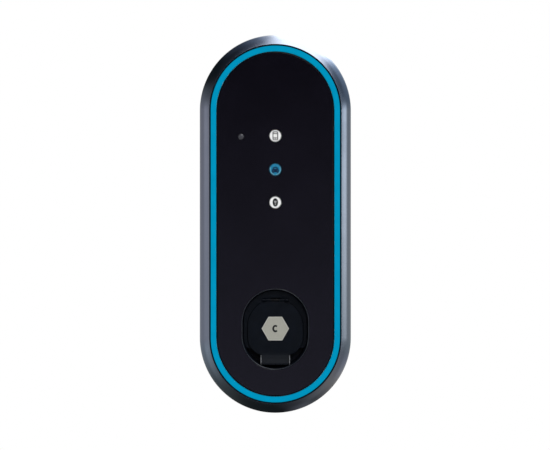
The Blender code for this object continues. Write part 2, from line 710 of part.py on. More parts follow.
def contacts():
    """Sleeves that take the plug's pins, set back from the face."""
    for name, (x, dz, radius, bore) in CONTACTS.items():
        front, back = CORE_D - 3.0, SOCKET_BACK_D - 4.0
        profile = [(radius, front), (radius, back), (0, back)]
        mouth = [(0, front - 30.0), (bore, front - 30.0), (bore, front - 0.8)]
        profile = mouth + [(bore + 0.6, front)] + profile
        centre = at(x, 0, SOCKET_Z + dz)
        turned(name, profile, centre, FORWARD, "contact_silver", 12)


def contact_carrier():
    """Plate on the back of the outlet that keeps the sleeves in place."""
    ends = (SOCKET_BACK_D - GAP - 2.4, SOCKET_BACK_D - GAP)
    centre = at(0, 0, SOCKET_Z)
    carrier = rod("contact_carrier", 27.0, ends, centre, FORWARD, "part_grey", 20)
    for name, (x, dz, radius, _) in CONTACTS.items():
        place = at(x, 0, SOCKET_Z + dz)
        cut(carrier, rod(f"{name}_slot", radius + GAP, (30, 60), place, FORWARD, None, 12))


def socket_screws():
    """Screws from behind, through the outlet's flange into the floor of the recess."""
    for number, (x, z) in enumerate(SOCKET_SCREW_XZ):
        screw(f"socket_screw_{number}", x, z, FLANGE_DEPTHS[0] - GAP, 5.0, backwards=True)


def plug_lock():
    """Lock above the outlet: its case, its motor, and the pin that drops into the plug."""
    low, high = ACTUATOR_Z
    case = block("lock_actuator", (-16, 16), (70.0, 91.4), (low, high), "part_black", edge=1.5)
    place = at(0, LOCK_D, 0)
    cut(case, rod("actuator_bore", LOCK_R + GAP, (low - 5, -68.0), place, UPWARD, None, 16))
    profile = [(0, LOCK_TOP_Z), (LOCK_R, LOCK_TOP_Z), (LOCK_R, LOCK_TIP_Z + 0.8)]
    profile += [(LOCK_R - 0.8, LOCK_TIP_Z), (0, LOCK_TIP_Z)]
    turned("lock_pin", profile, place, UPWARD, "steel_zinc", 16)
    motor = [(0, 14), (3, 14), (3, 12), (7.5, 12), (7.5, -12), (0, -12)]
    turned("lock_motor", motor, at(0, 76.0, high + GAP + 7.6), SIDEWAYS, "steel_zinc", 20)


# --- electronics ---------------------------------------------------------------------------


def boards():
    power = rounded_rectangle(58.0, 88.0, 4.0, 3)
    top = BOARD_D + BOARD_T
    front_plate("power_board", power, (BOARD_D, top), "board_green", centre_z=14.0)
    control = rounded_rectangle(48.0, 58.0, 3.0, 3)
    front_plate("control_board", control, (60.1, 61.7), "board_green", centre_z=91.0)
    panel = rounded_rectangle(24.0, 54.0, 3.0, 3)
    front_plate("interface_board", panel, (107.0, 108.6), "board_green", centre_z=64.7)


def card_antenna():
    """Flat loop that reads an access card held to the panel."""
    loop = rounded_rectangle(34.0, 52.0, 6.0, 3)
    antenna = front_plate("card_antenna", loop, (112.6, 113.4), "copper", centre_z=64.7)
    inside = rounded_rectangle(28.0, 46.0, 4.0, 3)
    cut(antenna, front_plate("antenna_window", inside, (110, 116), centre_z=64.7))


def power_parts():
    """What stands on the power board, and the supply terminals behind the outlet."""
    foot = BOARD_D + BOARD_T + GAP
    for number, x in enumerate((-22.0, 22.0)):
        xs = (x - 15.0, x + 15.0)
        block(f"relay_{number}", xs, (foot, foot + 26), (-22, -4), "part_black", edge=1.0)
    block("energy_meter", (-48, -8), (foot, foot + 18), (40, 84), "part_grey", edge=1.2)
    block("power_supply", (6, 46), (foot, foot + 22), (44, 76), "part_black", edge=1.2)
    terminals = block("output_terminals", (-26, 26), (foot, foot + 12), (-72, -58), "part_grey", 0.8)
    supply = (BACK_D + WALL_T + GAP, BACK_D + WALL_T + 20)
    inputs = block("supply_terminals", (-30, 30), supply, (-136, -114), "part_grey", 0.8)
    for way in range(5):
        x = -20.0 + 10.0 * way
        hole = rod(f"output_clamp_{way}", 3.0, (foot + 6, 60), at(x, 0, -65), FORWARD, None, 8)
        cut(terminals, hole)
        cut(inputs, rod(f"supply_clamp_{way}", 3.2, (18, 60), at(x, 0, -125), FORWARD, None, 8))
    shield = block("radio_shield", (-18, 12), (62.0, 66.0), (92, 118), "steel_zinc", edge=0.8)
    cut(shield, block("shield_vent", (-10, 4), (60, 64.8), (97, 113)))


def leakage_sensor():
    """Ring core on a foot, through which the supply conductors pass."""
    centre_d, centre_z = BOARD_D + BOARD_T + 17.0, -40.0
    centre = at(0, centre_d, centre_z)
    core = tube_ring("leakage_sensor", 14.0, 9.0, (-6, 6), centre, UPWARD, "ferrite", 20)
    foot_ds = (BOARD_D + BOARD_T + GAP, centre_d - 10.0)
    join(core, block("sensor_foot", (-10, 10), foot_ds, (centre_z - 5, centre_z + 5)))


def wires():
    """Leads from the output terminals down to the back of the outlet's contacts."""
    routes = {
        "wire_line": ("contact_line_1", "wire_brown", 1.6),
        "wire_earth": ("contact_earth", "wire_green", 1.6),
        "wire_neutral": ("contact_neutral", "wire_blue", 1.6),
        "wire_pilot": ("contact_pilot", "wire_orange", 0.9),
        "wire_proximity": ("contact_proximity", "wire_violet", 0.9),
    }
    for name, (contact, material, radius) in routes.items():
        x, dz = CONTACTS[contact][:2]
        start_z = SOCKET_Z + dz
        back = SOCKET_BACK_D - 4.0 - GAP
        route = [(x, back, start_z), (x, back - 2.5, start_z), (x, back - 5.5, start_z + 3.0)]
        route += [(x, back - 7.0, start_z + 9.0), (x, back - 8.5, -95.0)]
        route += [(x, 28.0, -82.0), (x, 26.2, -76.0), (x, 26.0, -72.0 - GAP)]
        wire(name, smooth(route, 2), radius, material, resolution=1)


def hang(name, place, children):
    """Parents the named pieces to an empty on their joint's axis."""
    empty = bpy.data.objects.new(name, None)
    empty.location = place
    bpy.data.collections[COLLECTION].objects.link(empty)
    for child in children:
        obj = bpy.data.objects[child]
        obj.parent = empty
        obj.location -= place


def main():
    for obj in list(bpy.data.objects):
        bpy.data.objects.remove(obj, do_unlink=True)
    make_collection(COLLECTION)
    make_collection("cutters").hide_render = True
    for name in MATERIALS:
        make_material(name)
    wall_bracket()
    rear_housing()
    cable_grommet()
    front_bezel()
    housing_gasket()
    inner_carrier()
    carrier_screws()
    light_ring_channel()
    led_ring_board()
    light_ring()
    front_panel()
    icon_lenses()
    recess_well()
    lid_frame()
    hinge_pin()
    lid_spring()
    socket_lid()
    type_label()
    lid_seal()
    socket_body()
    contacts()
    contact_carrier()
    socket_screws()
    plug_lock()
    boards()
    card_antenna()
    power_parts()
    leakage_sensor()
    wires()
    lid_pieces = ("socket_lid", "type_label", "lid_seal")
    hang("lid_hinge", at(0, HINGE_D, HINGE_Z), lid_pieces)
    hang("lock_slide", at(0, LOCK_D, LOCK_TIP_Z), ("lock_pin",))


main()
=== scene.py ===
"""Looks of the wall-mounted car charging box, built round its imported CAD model.

Sizes are in millimetres and follow the CAD part: X runs right, Z up, and depth is the distance
in front of the wall, so depth = -Y. Helpers turn them into metres. Every mesh has its place in
its vertices and its object at the origin, as the CAD nodes do.
"""

import json
import math

import bmesh
import bpy
from mathutils import Matrix, Vector


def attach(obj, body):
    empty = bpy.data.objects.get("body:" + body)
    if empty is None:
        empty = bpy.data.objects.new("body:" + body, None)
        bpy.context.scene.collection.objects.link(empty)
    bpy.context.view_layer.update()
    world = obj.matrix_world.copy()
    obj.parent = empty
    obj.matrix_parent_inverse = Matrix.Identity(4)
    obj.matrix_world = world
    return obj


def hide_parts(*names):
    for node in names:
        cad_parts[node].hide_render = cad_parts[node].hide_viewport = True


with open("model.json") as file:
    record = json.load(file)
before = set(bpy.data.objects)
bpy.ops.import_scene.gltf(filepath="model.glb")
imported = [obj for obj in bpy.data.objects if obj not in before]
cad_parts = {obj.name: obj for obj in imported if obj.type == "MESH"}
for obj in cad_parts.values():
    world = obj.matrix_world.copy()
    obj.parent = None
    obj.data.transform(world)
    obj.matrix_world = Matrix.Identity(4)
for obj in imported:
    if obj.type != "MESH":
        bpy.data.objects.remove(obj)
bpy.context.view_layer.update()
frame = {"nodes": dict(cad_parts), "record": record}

MM = 0.001
ARC_STEPS = 96  # steps in half a turn of the large outlines
SMALL_STEPS = 24  # the same, for small turned pieces
SHARP_ANGLE = 32.0  # degrees between faces from which an edge is drawn sharp
GAP = 0.3  # between neighbouring pieces

# Outline and layers of the front.
OUTER_R = 90.0
HALF_STRAIGHT = 135.0
BEZEL_IN_R = 78.3
BEZEL_CENTRE_R, BEZEL_LAST_ANGLE = 76.1, 80.0  # of the ellipse that its front follows
BEZEL_FOOT_D = 106.6
SHOULDER_D = 104.5
FRONT_D = 120.0
SEAT_D = 96.8
RING_OUT_R, RING_IN_R = 76.65, 70.35
RING_LOW_D, RING_TOP_D = 110.5, 118.9
CHANNEL_D, CHANNEL_TOP_D, CHANNEL_FLOOR_D = 104.0, 118.1, 108.0
CHANNEL_FLANGE_R, CHANNEL_FLANGE_T = 84.0, 2.2
TROUGH_IN_RS, TROUGH_OUT_RS, TROUGH_OUT_TOP_D = (68.8, 69.6), (77.4, 78.25), 119.3
LEDGE_R, LEDGE_T = 62.0, 2.6
PANEL_R = 68.5
PANEL_D, PANEL_T = 118.5, 3.0
LEDGE_D = PANEL_D - PANEL_T - GAP  # where the panel's edge rests
ICON_R = 7.5
INK_T = 0.05
ICON_Z = {"phone": 104.6, "charge": 64.7, "radio": 25.6}
SENSOR_X, SENSOR_Z, SENSOR_R = -40.6, 103.6, 3.3

# Recess and lid.
SOCKET_Z = -124.8
WELL_HALF = 8.0
WELL_OUT_R, WELL_RIM_R, WELL_FLOOR_R = 40.0, 39.1, 37.2
WELL_FLOOR_D, WELL_FLOOR_T, WELL_HOLE_R = 98.0, 2.0, 35.4
WELL_TOP_D = 117.6
WELL_FLANGE_R, WELL_FLANGE_T = 45.5, 2.4
SURROUND_R = 37.7
SURROUND_DEPTHS = (106.0, 108.8)
SURROUND_FOOT_Z = -148.0
SURROUND_SHOULDER = 0.84  # height of its opening's shoulders, as a share of the half width
LID_DEPTHS = (107.2, 110.2)
LID_HALF_WIDTH = 33.0
LID_TOP_Z, LID_BOTTOM_Z = -89.2, -156.8
LID_CORNER_R = 22.0
LID_GAP = 0.35
TAB_HALF_WIDTH, TAB_RIB = 17.5, 1.1
TAB_BOTTOM_Z = -167.2
# Faces of the tab from the side: (depth, z, corner radius) of its web and of its two ribs. The
# ribs' outline crosses itself at its root, inside the lid, and that makes them 0.35 mm larger.
WEB_FACE = [
    (109.9, -150.0), (110.4, -156.0, 3.0), (111.4, -160.5, 3.0), (112.9, -165.0, 0.8),
    (113.2, TAB_BOTTOM_Z, 0.3),
]
RIB_FACE = [(109.9, -156.0), (113.6, -158.6, 1.0), (115.4, -164.8, 0.8), (114.6, TAB_BOTTOM_Z, 0.4)]
TAB_BACK = [(110.9, TAB_BOTTOM_Z, 0.4), (110.2, -163.5, 1.5), (108.4, -159.0, 3.0)]
LABEL_R, LABEL_Z = 16.25, SOCKET_Z + 0.4
LABEL_DEPTHS = (110.5, 111.1)
HINGE_Z, HINGE_D = -90.5, 107.4
KNUCKLE_R, PIN_R, PIN_BORE_R = 2.6, 1.0, 1.3
KNUCKLE_X, LUG_X = (5.4, 11.5), (11.9, 15.5)

# Type 2 outlet.
COLLAR_R, COLLAR_D, OUTLET_BACK_D = 31.2, 104.0, 44.0
GROOVE_R, GROOVE_FLAT, GROOVE_BOTTOM_D = 28.5, 22.5, 74.0
FLANGE_DEPTHS = (91.7, 95.7)
CORE_R, CORE_FLAT, CORE_D = 22.5, 17.0, 101.0
POWER_R, POWER_BORE_R = 4.6, 3.05
SIGNAL_R, SIGNAL_BORE_R = 3.2, 1.55
CONTACT_BORE_LENGTH = 30.0
CONTACTS = {
    "contact_line_1": (-15.0, 0.0, POWER_R, POWER_BORE_R),
    "contact_earth": (0.0, 0.0, POWER_R, POWER_BORE_R),
    "contact_neutral": (15.0, 0.0, POWER_R, POWER_BORE_R),
    "contact_line_2": (-8.0, -13.0, POWER_R, POWER_BORE_R),
    "contact_line_3": (8.0, -13.0, POWER_R, POWER_BORE_R),
    "contact_pilot": (-7.0, 12.0, SIGNAL_R, SIGNAL_BORE_R),
    "contact_proximity": (7.0, 12.0, SIGNAL_R, SIGNAL_BORE_R),
}
OUTLET_SCREW_XZ = [(x, SOCKET_Z + dz) for x in (-21.0, 21.0) for dz in (-33.0, 33.0)]
LOCK_R, LOCK_D = 2.4, 86.0
LOCK_TIP_Z, LOCK_TOP_Z = -101.5, -72.0

# Casing.
BRACKET_T, WALL_T = 3.0, 3.0
BACK_D = BRACKET_T + GAP
SEAM_D = 95.0
POST_XZ = [(x, z) for x in (-71.0, 71.0) for z in (-75.0, 115.0)]
BOARD_POST_XZ = [(x, z) for x in (-52.0, 52.0) for z in (-60.0, 82.0)]
POST_TOP_D, BOARD_POST_TOP_D = 85.7, 18.0
HOOK_X, HOOK_Z = 32.0, 96.0
HOOK_T = 3.0
HOOK_SLOT_ZS = (HOOK_Z - 12.0, HOOK_Z + HOOK_T + GAP)
WALL_SCREW_X, WALL_SCREW_Z, WALL_SCREW_R = HOOK_X * 1.2, 122.0, 3.3
GROMMET_Z, GROMMET_R = -186.0, 11.0

# Turn a local frame so that its Z points forwards, to the right, or up.
FORWARD = Matrix(((1, 0, 0), (0, 0, -1), (0, 1, 0)))
SIDEWAYS = Matrix(((0, 0, 1), (-1, 0, 0), (0, -1, 0)))
UPWARD = Matrix.Identity(3)
# Local X runs forwards, local Y up and local Z to the left.
SIDE_VIEW = Matrix(((0, 0, -1), (-1, 0, 0), (0, 1, 0)))


def at(x, depth, z):
    return Vector((x, -depth, z)) * MM


# --- materials ------------------------------------------------------------------------------


def node(tree, kind, inputs=None, **settings):
    """Adds a shader node; an input is given a value or linked to a socket."""
    made = tree.nodes.new("ShaderNode" + kind)
    for key, value in settings.items():
        setattr(made, key, value)
    for key, value in (inputs or {}).items():
        if isinstance(value, bpy.types.NodeSocket):
            tree.links.new(value, made.inputs[key])
        else:
            made.inputs[key].default_value = value
    return made


def ramp(tree, factor, stops):
    """Colours a factor by (place, colour) stops; a colour may be one grey level."""
    made = node(tree, "ValToRGB", {"Fac": factor})
    band = made.color_ramp.elements
    while len(band) < len(stops):
        band.new(0.5)
    for element, (place, colour) in zip(band, stops):
        element.position = place
        rgb = (colour,) * 3 if isinstance(colour, (int, float)) else colour
        element.color = (*rgb, 1.0)
    return made.outputs["Color"]


NOISE_ROUGHNESS = 0.55
POLISH_DETAIL, GRAIN_DETAIL = 4.0, 2.0


class Finish:
    """A Principled material whose colour, roughness and relief come from noise in object space."""

    def __init__(self, slot, colour, roughness, metallic=0.0, **sockets):
        """Sockets are named as in the shader, with _ for each space."""
        self.slot = slot
        self.material = bpy.data.materials.new(slot)
        self.material.use_nodes = True
        self.tree = self.material.node_tree
        self.shader = self.tree.nodes["Principled BSDF"]
        self.colour = colour
        self.shader.inputs["Metallic"].default_value = metallic
        self.shader.inputs["Roughness"].default_value = roughness
        self.shader.inputs["Base Color"].default_value = (*colour, 1.0)
        for name, value in sockets.items():
            self.shader.inputs[name.replace("_", " ")].default_value = value
        self.roughness = roughness
        self.place = node(self.tree, "TexCoord").outputs["Object"]
        self.relief = None

    def mapped(self, size, stretch=(1.0, 1.0, 1.0)):
        scale = tuple(1.0 / (size * MM * s) for s in stretch)
        return node(self.tree, "Mapping", {"Vector": self.place, "Scale": scale}).outputs["Vector"]

    def noise(self, size, detail=3.0, stretch=(1.0, 1.0, 1.0)):
        inputs = {"Vector": self.mapped(size, stretch), "Scale": 1.0}
        inputs |= {"Detail": detail, "Roughness": NOISE_ROUGHNESS}
        return node(self.tree, "TexNoise", inputs).outputs["Fac"]

    def cells(self, size, output="Color", **settings):
        inputs = {"Vector": self.mapped(size), "Scale": 1.0}
        return node(self.tree, "TexVoronoi", inputs, **settings).outputs[output]

    def spread(self, factor, low, high, start=0.3, end=0.7):
        """Maps a noise's middle range onto low to high."""
        inputs = {"Value": factor, "From Min": start, "From Max": end}
        inputs |= {"To Min": low, "To Max": high}
        return node(self.tree, "MapRange", inputs).outputs["Result"]

    def mix(self, factor, first, second):
        made = node(self.tree, "Mix", data_type="RGBA")
        ends = {"Factor": factor, "A": first, "B": second}
        for socket in made.inputs:
            if socket.enabled and socket.name in ends:
                value = ends[socket.name]
                if isinstance(value, bpy.types.NodeSocket):
                    self.tree.links.new(value, socket)
                elif isinstance(value, tuple) and len(value) == 3:
                    socket.default_value = (*value, 1.0)
                else:
                    socket.default_value = value
        return next(s for s in made.outputs if s.enabled)

    def paint(self, colour_socket):
        self.tree.links.new(colour_socket, self.shader.inputs["Base Color"])
        self.painted = colour_socket
        return self

    def mottle(self, size, share, detail=3.0):
        """Lets the colour wander by a share of itself."""
        low = tuple(c * (1 - share) for c in self.colour)
        high = tuple(min(1.0, c * (1 + share)) for c in self.colour)
        factor = self.spread(self.noise(size, detail), 0.0, 1.0)
        return self.paint(self.mix(factor, low, high))

    def polish(self, size, spread):
        """Lets the roughness wander."""
        low, high = max(0.02, self.roughness - spread), min(1.0, self.roughness + spread)
        factor = self.noise(size, POLISH_DETAIL)
        self.tree.links.new(self.spread(factor, low, high), self.shader.inputs["Roughness"])
        return self

    def bump(self, height, depth, strength):
        """Adds relief, depth millimetres high, on top of any already there."""
        inputs = {"Height": height, "Distance": depth * MM, "Strength": strength}
        if self.relief:
            inputs["Normal"] = self.relief
        self.relief = node(self.tree, "Bump", inputs).outputs["Normal"]
        self.tree.links.new(self.relief, self.shader.inputs["Normal"])
        return self

    def grain(self, size, depth, strength):
        """Fine moulded or sprayed texture."""
        return self.bump(self.noise(size, GRAIN_DETAIL), depth, strength)


FINISHES = {}


def keep(finish):
    FINISHES[finish.slot] = finish.material


def make_finishes():
    # Satin metallic paint: flakes under a clear coat, and a faint orange-peel surface.
    bezel = Finish(
        "bezel_metal", (0.31, 0.34, 0.41), 0.17, 1.0, Coat_Weight=0.1, Coat_Roughness=0.1
    )
    flakes = bezel.spread(bezel.cells(0.22), 0.0, 1.0, 0.0, 1.0)
    bezel.paint(bezel.mix(flakes, (0.27, 0.30, 0.37), (0.35, 0.38, 0.45)))
    bezel.polish(40.0, 0.03).bump(bezel.noise(1.8, 2.0), 0.004, 0.35)
    keep(bezel)

    # Gloss acrylic with a violet cast, light polishing haze and a few dust specks.
    panel = Finish("panel_gloss", (0.0017, 0.0014, 0.0026), 0.06)
    dust = ramp(panel.tree, panel.noise(0.5, 1.0), [(0.0, 0.0), (0.74, 0.0), (0.80, 1.0)])
    haze = panel.mix(
        panel.spread(panel.noise(60.0, 2.0), 0.0, 1.0), panel.colour, (0.0026, 0.0022, 0.0040)
    )
    panel.paint(panel.mix(dust, haze, (0.006, 0.006, 0.007)))
    panel.polish(25.0, 0.025)
    keep(panel)

    black = Finish("black_plastic", (0.011, 0.012, 0.015), 0.46, Specular_IOR_Level=0.35)
    black.mottle(14.0, 0.16).polish(9.0, 0.07).grain(0.45, 0.05, 0.55)
    keep(black)

    # Trim of the recess rim: glossier than the black plastic, and a little paler and bluer as a
    # painted highlight along the rim.
    rim = Finish("rim_highlight_plastic", (0.014, 0.016, 0.022), 0.34)
    rim.mottle(5.0, 0.25).polish(4.0, 0.06).grain(0.3, 0.02, 0.4)
    keep(rim)

    # Trough of the light ring: a near-black copy of the black plastic, painted shade in the thin
    # gaps beside the ring.
    dark = Finish("channel_shade_black", (0.002, 0.002, 0.003), 0.6, Specular_IOR_Level=0.1)
    dark.mottle(3.0, 0.3).polish(4.0, 0.08).grain(0.3, 0.02, 0.4)
    keep(dark)

    lid = Finish("lid_plastic", (0.0014, 0.0025, 0.0050), 0.42, Specular_IOR_Level=0.13)
    lid.mottle(9.0, 0.18).polish(6.0, 0.06).grain(0.35, 0.03, 0.45)
    keep(lid)

    # The same plastic on the tab's ribs, painted pale grey: a painted highlight where light catches
    # the rib edges.
    rib_highlight = Finish("rib_highlight_plastic", (0.085, 0.087, 0.092), 0.38)
    rib_highlight.mottle(1.5, 0.25).polish(2.0, 0.06).grain(0.35, 0.02, 0.4)
    keep(rib_highlight)

    # Diffuser: milky blue, lit from behind, a little brighter over each light-emitting diode.
    glow = Finish(
        "light_blue", (0.0, 0.055, 0.11), 0.38, Emission_Strength=1.0, Specular_IOR_Level=0.0
    )
    lamps = glow.spread(glow.noise(17.0, 1.0), 0.0, 1.0)
    lit = glow.mix(lamps, (0.0002, 0.203, 0.332), (0.0004, 0.223, 0.365))
    glow.tree.links.new(lit, glow.shader.inputs["Emission Color"])
    glow.mottle(5.0, 0.10).polish(4.0, 0.05).grain(0.3, 0.01, 0.3)
    keep(glow)

    white = Finish("icon_white", (0.64, 0.628, 0.605), 0.30)
    white.mottle(1.6, 0.05).polish(3.0, 0.05)
    keep(white)

    blue = Finish("icon_blue", (0.004, 0.06, 0.10), 0.28, Emission_Strength=1.0)
    pool = blue.spread(blue.noise(5.0, 1.0), 0.0, 1.0)
    lit = blue.mix(pool, (0.001, 0.085, 0.17), (0.004, 0.120, 0.22))
    blue.tree.links.new(lit, blue.shader.inputs["Emission Color"])
    blue.mottle(1.6, 0.12).polish(3.0, 0.05)
    keep(blue)

    smoke = Finish("sensor_smoke", (0.037, 0.036, 0.041), 0.20)
    smoke.mottle(1.2, 0.22).polish(1.5, 0.05)
    keep(smoke)

    label = Finish("label_grey", (0.250, 0.242, 0.203), 0.55)
    label.mottle(0.7, 0.07, 5.0).polish(3.0, 0.06).grain(0.25, 0.02, 0.5)
    keep(label)

    rubber = Finish("rubber_black", (0.015, 0.015, 0.015), 0.78)
    rubber.mottle(3.0, 0.25).polish(2.0, 0.08).grain(0.25, 0.05, 0.7)
    keep(rubber)

    # Zinc plating: small crystals, with fine rolling lines.
    zinc = Finish("steel_zinc", (0.55, 0.56, 0.58), 0.34, 1.0)
    crystal = zinc.spread(zinc.cells(3.5), 0.0, 1.0, 0.0, 1.0)
    zinc.paint(zinc.mix(crystal, (0.46, 0.47, 0.50), (0.62, 0.63, 0.64)))
    zinc.polish(2.5, 0.10).bump(zinc.noise(0.4, 2.0, (1.0, 1.0, 30.0)), 0.01, 0.4)
    keep(zinc)

    # Hinge pin: steel painted near-black as shade, so that it stays as dark as the top of the
    # recess round it.
    pin_shade_steel = Finish("steel_black", (0.030, 0.030, 0.032), 0.40, 0.9)
    pin_shade_steel.mottle(2.0, 0.3).polish(1.5, 0.08).grain(0.3, 0.01, 0.4)
    keep(pin_shade_steel)

    silver = Finish("contact_silver", (0.75, 0.74, 0.72), 0.22, 1.0)
    tarnish = ramp(silver.tree, silver.noise(2.2, 4.0), [(0.45, 0.0), (0.75, 1.0)])
    silver.paint(silver.mix(tarnish, (0.76, 0.75, 0.73), (0.52, 0.46, 0.38)))
    silver.polish(1.2, 0.10).bump(silver.noise(0.3, 2.0, (1.0, 12.0, 1.0)), 0.008, 0.5)
    keep(silver)

    for slot, mask, trace in (
        ("board_green", (0.006, 0.070, 0.026), (0.012, 0.135, 0.050)),
        ("board_white", (0.66, 0.66, 0.64), (0.74, 0.74, 0.73)),
    ):
        board = Finish(slot, mask, 0.34, Coat_Weight=0.3, Coat_Roughness=0.2)
        edges = board.cells(4.0, "Distance", distance="MANHATTAN", feature="F1")
        tracks = ramp(board.tree, edges, [(0.30, 0.0), (0.34, 1.0), (0.42, 1.0), (0.46, 0.0)])
        pads = ramp(board.tree, board.cells(7.0, "Distance"), [(0.10, 1.0), (0.13, 0.0)])
        board.paint(board.mix(pads, board.mix(tracks, mask, trace), (0.55, 0.42, 0.16)))
        board.polish(5.0, 0.05).bump(tracks, 0.035, 0.6)
        keep(board)

    moulded = Finish("part_black", (0.020, 0.020, 0.022), 0.45)
    moulded.mottle(6.0, 0.2).polish(4.0, 0.08).grain(0.3, 0.04, 0.6)
    keep(moulded)

    grey = Finish("part_grey", (0.30, 0.31, 0.32), 0.48)
    grey.mottle(12.0, 0.07).polish(8.0, 0.07).grain(0.5, 0.05, 0.5)
    keep(grey)

    ferrite = Finish("ferrite", (0.05, 0.05, 0.055), 0.55)
    ferrite.mottle(0.6, 0.45, 5.0).polish(1.5, 0.12).grain(0.4, 0.06, 0.7)
    keep(ferrite)

    # Etched copper: turns of the loop, with tarnish.
    copper = Finish("copper", (0.60, 0.28, 0.14), 0.32, 1.0)
    age = ramp(copper.tree, copper.noise(6.0, 4.0), [(0.40, 0.0), (0.75, 1.0)])
    copper.paint(copper.mix(age, (0.64, 0.31, 0.16), (0.36, 0.17, 0.09)))
    copper.polish(3.0, 0.10).bump(copper.noise(0.5, 1.0, (1.0, 1.0, 40.0)), 0.02, 0.5)
    keep(copper)

    for slot, colour in (
        ("wire_brown", (0.13, 0.05, 0.02)),
        ("wire_blue", (0.02, 0.08, 0.35)),
        ("wire_green", (0.10, 0.30, 0.04)),
        ("wire_orange", (0.55, 0.17, 0.03)),
        ("wire_violet", (0.18, 0.06, 0.30)),
    ):
        wire = Finish(slot, colour, 0.42)
        wire.mottle(3.0, 0.12).polish(2.0, 0.07).grain(0.3, 0.02, 0.5)
        if slot == "wire_green":
            across = node(wire.tree, "SeparateXYZ", {"Vector": wire.place}).outputs["X"]
            stripe = wire.spread(across, 0.0, 1.0, 0.35 * MM, 0.45 * MM)
            wire.paint(wire.mix(stripe, wire.painted, (0.62, 0.50, 0.03)))
        keep(wire)

    ink = Finish("ink_black", (0.005, 0.005, 0.006), 0.45, Specular_IOR_Level=0.2)
    ink.mottle(0.8, 0.3).polish(0.8, 0.08).grain(0.2, 0.01, 0.4)
    keep(ink)

    ink = Finish("ink_grey", (0.022, 0.022, 0.024), 0.40)
    ink.mottle(0.8, 0.12).polish(0.8, 0.08)
    keep(ink)

    ink = Finish("ink_blue", (0.001, 0.010, 0.035), 0.40, Specular_IOR_Level=0.2)
    ink.mottle(0.8, 0.2).polish(0.8, 0.08)
    keep(ink)

    ink = Finish("ink_pale", (0.10, 0.30, 0.38), 0.35)
    ink.mottle(0.8, 0.2).polish(0.8, 0.08)
    keep(ink)

    edge = Finish("label_edge", (0.36, 0.35, 0.32), 0.48)
    edge.mottle(0.8, 0.06).polish(1.5, 0.05).grain(0.25, 0.01, 0.4)
    keep(edge)


# --- meshes ---------------------------------------------------------------------------------


def piece(name, parts, finish, body="charger", replaces=(), slot=None):
    """Makes one object of one or more closed meshes, hangs it on its body, and hides the CAD nodes
    that it replaces.
    """
    bm = bmesh.new()
    for part in parts if isinstance(parts, list) else [parts]:
        bm.from_mesh(part)
        bpy.data.meshes.remove(part)
    mesh = bpy.data.meshes.new(name)
    bm.to_mesh(mesh)
    bm.free()
    mesh.shade_smooth()
    mesh.set_sharp_from_angle(angle=math.radians(SHARP_ANGLE))
    mesh.materials.append(FINISHES[finish])
    obj = bpy.data.objects.new(name, mesh)
    bpy.context.scene.collection.objects.link(obj)
    # Large flat faces keep flat normals, and only the rounded edges bend.
    even = obj.modifiers.new("even_normals", "WEIGHTED_NORMAL")
    even.keep_sharp = True
    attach(obj, body)
    if replaces:
        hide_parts(*replaces)


def closed(bm):
    """Turns the faces outwards and makes the mesh."""
    bmesh.ops.recalc_face_normals(bm, faces=bm.faces)
    mesh = bpy.data.meshes.new("solid")
    bm.to_mesh(mesh)
    bm.free()
    return mesh


def rounded(points, ring=True, steps=4):
    """Rounds the corners of (across, along[, radius]) points."""
    found = []
    last = len(points) - 1
    for index, point in enumerate(points):
        corner = Vector(point[:2])
        radius = point[2] if len(point) > 2 else 0.0
        if radius == 0 or (not ring and index in (0, last)):
            found.append(tuple(corner))
            continue
        before = Vector(points[index - 1][:2]) - corner
        after = Vector(points[(index + 1) % len(points)][:2]) - corner
        reach = radius / math.tan(before.angle(after) / 2)
        reach = min(reach, 0.48 * before.length, 0.48 * after.length)
        first, second = (corner + way.normalized() * reach for way in (before, after))
        for step in range(steps + 1):
            t = step / steps
            found.append(tuple(first * (1 - t) ** 2 + corner * 2 * t * (1 - t) + second * t * t))
    return found


def sweep(profile, centre, turn=FORWARD, half=0.0, ring=True, steps=ARC_STEPS):
    """Sweeps (radius, along) points round a circle, or round a capsule with straight sides.

    A profile that isn't a ring is closed by a flat face at each end.
    """
    stations = []
    for side in (1, -1):
        for step in range(steps + (1 if half else 0)):
            angle = math.pi * (step / steps + (side < 0))
            stations.append((math.cos(angle), math.sin(angle), side * half))
    bm = bmesh.new()
    rows = [
        [bm.verts.new(turn @ (Vector((r * c, r * s + up, d)) * MM) + centre) for r, d in profile]
        for c, s, up in stations
    ]
    spans = range(len(profile) if ring else len(profile) - 1)
    for row, following in zip(rows, rows[1:] + rows[:1]):
        for k in spans:
            n = (k + 1) % len(profile)
            bm.faces.new((row[k], row[n], following[n], following[k]))
    if not ring:
        bm.faces.new([row[0] for row in rows])
        bm.faces.new([row[-1] for row in rows])
    return closed(bm)


def capsule(profile, half=HALF_STRAIGHT, centre_z=0.0, ring=True):
    return sweep(profile, at(0, 0, centre_z), FORWARD, half, ring)


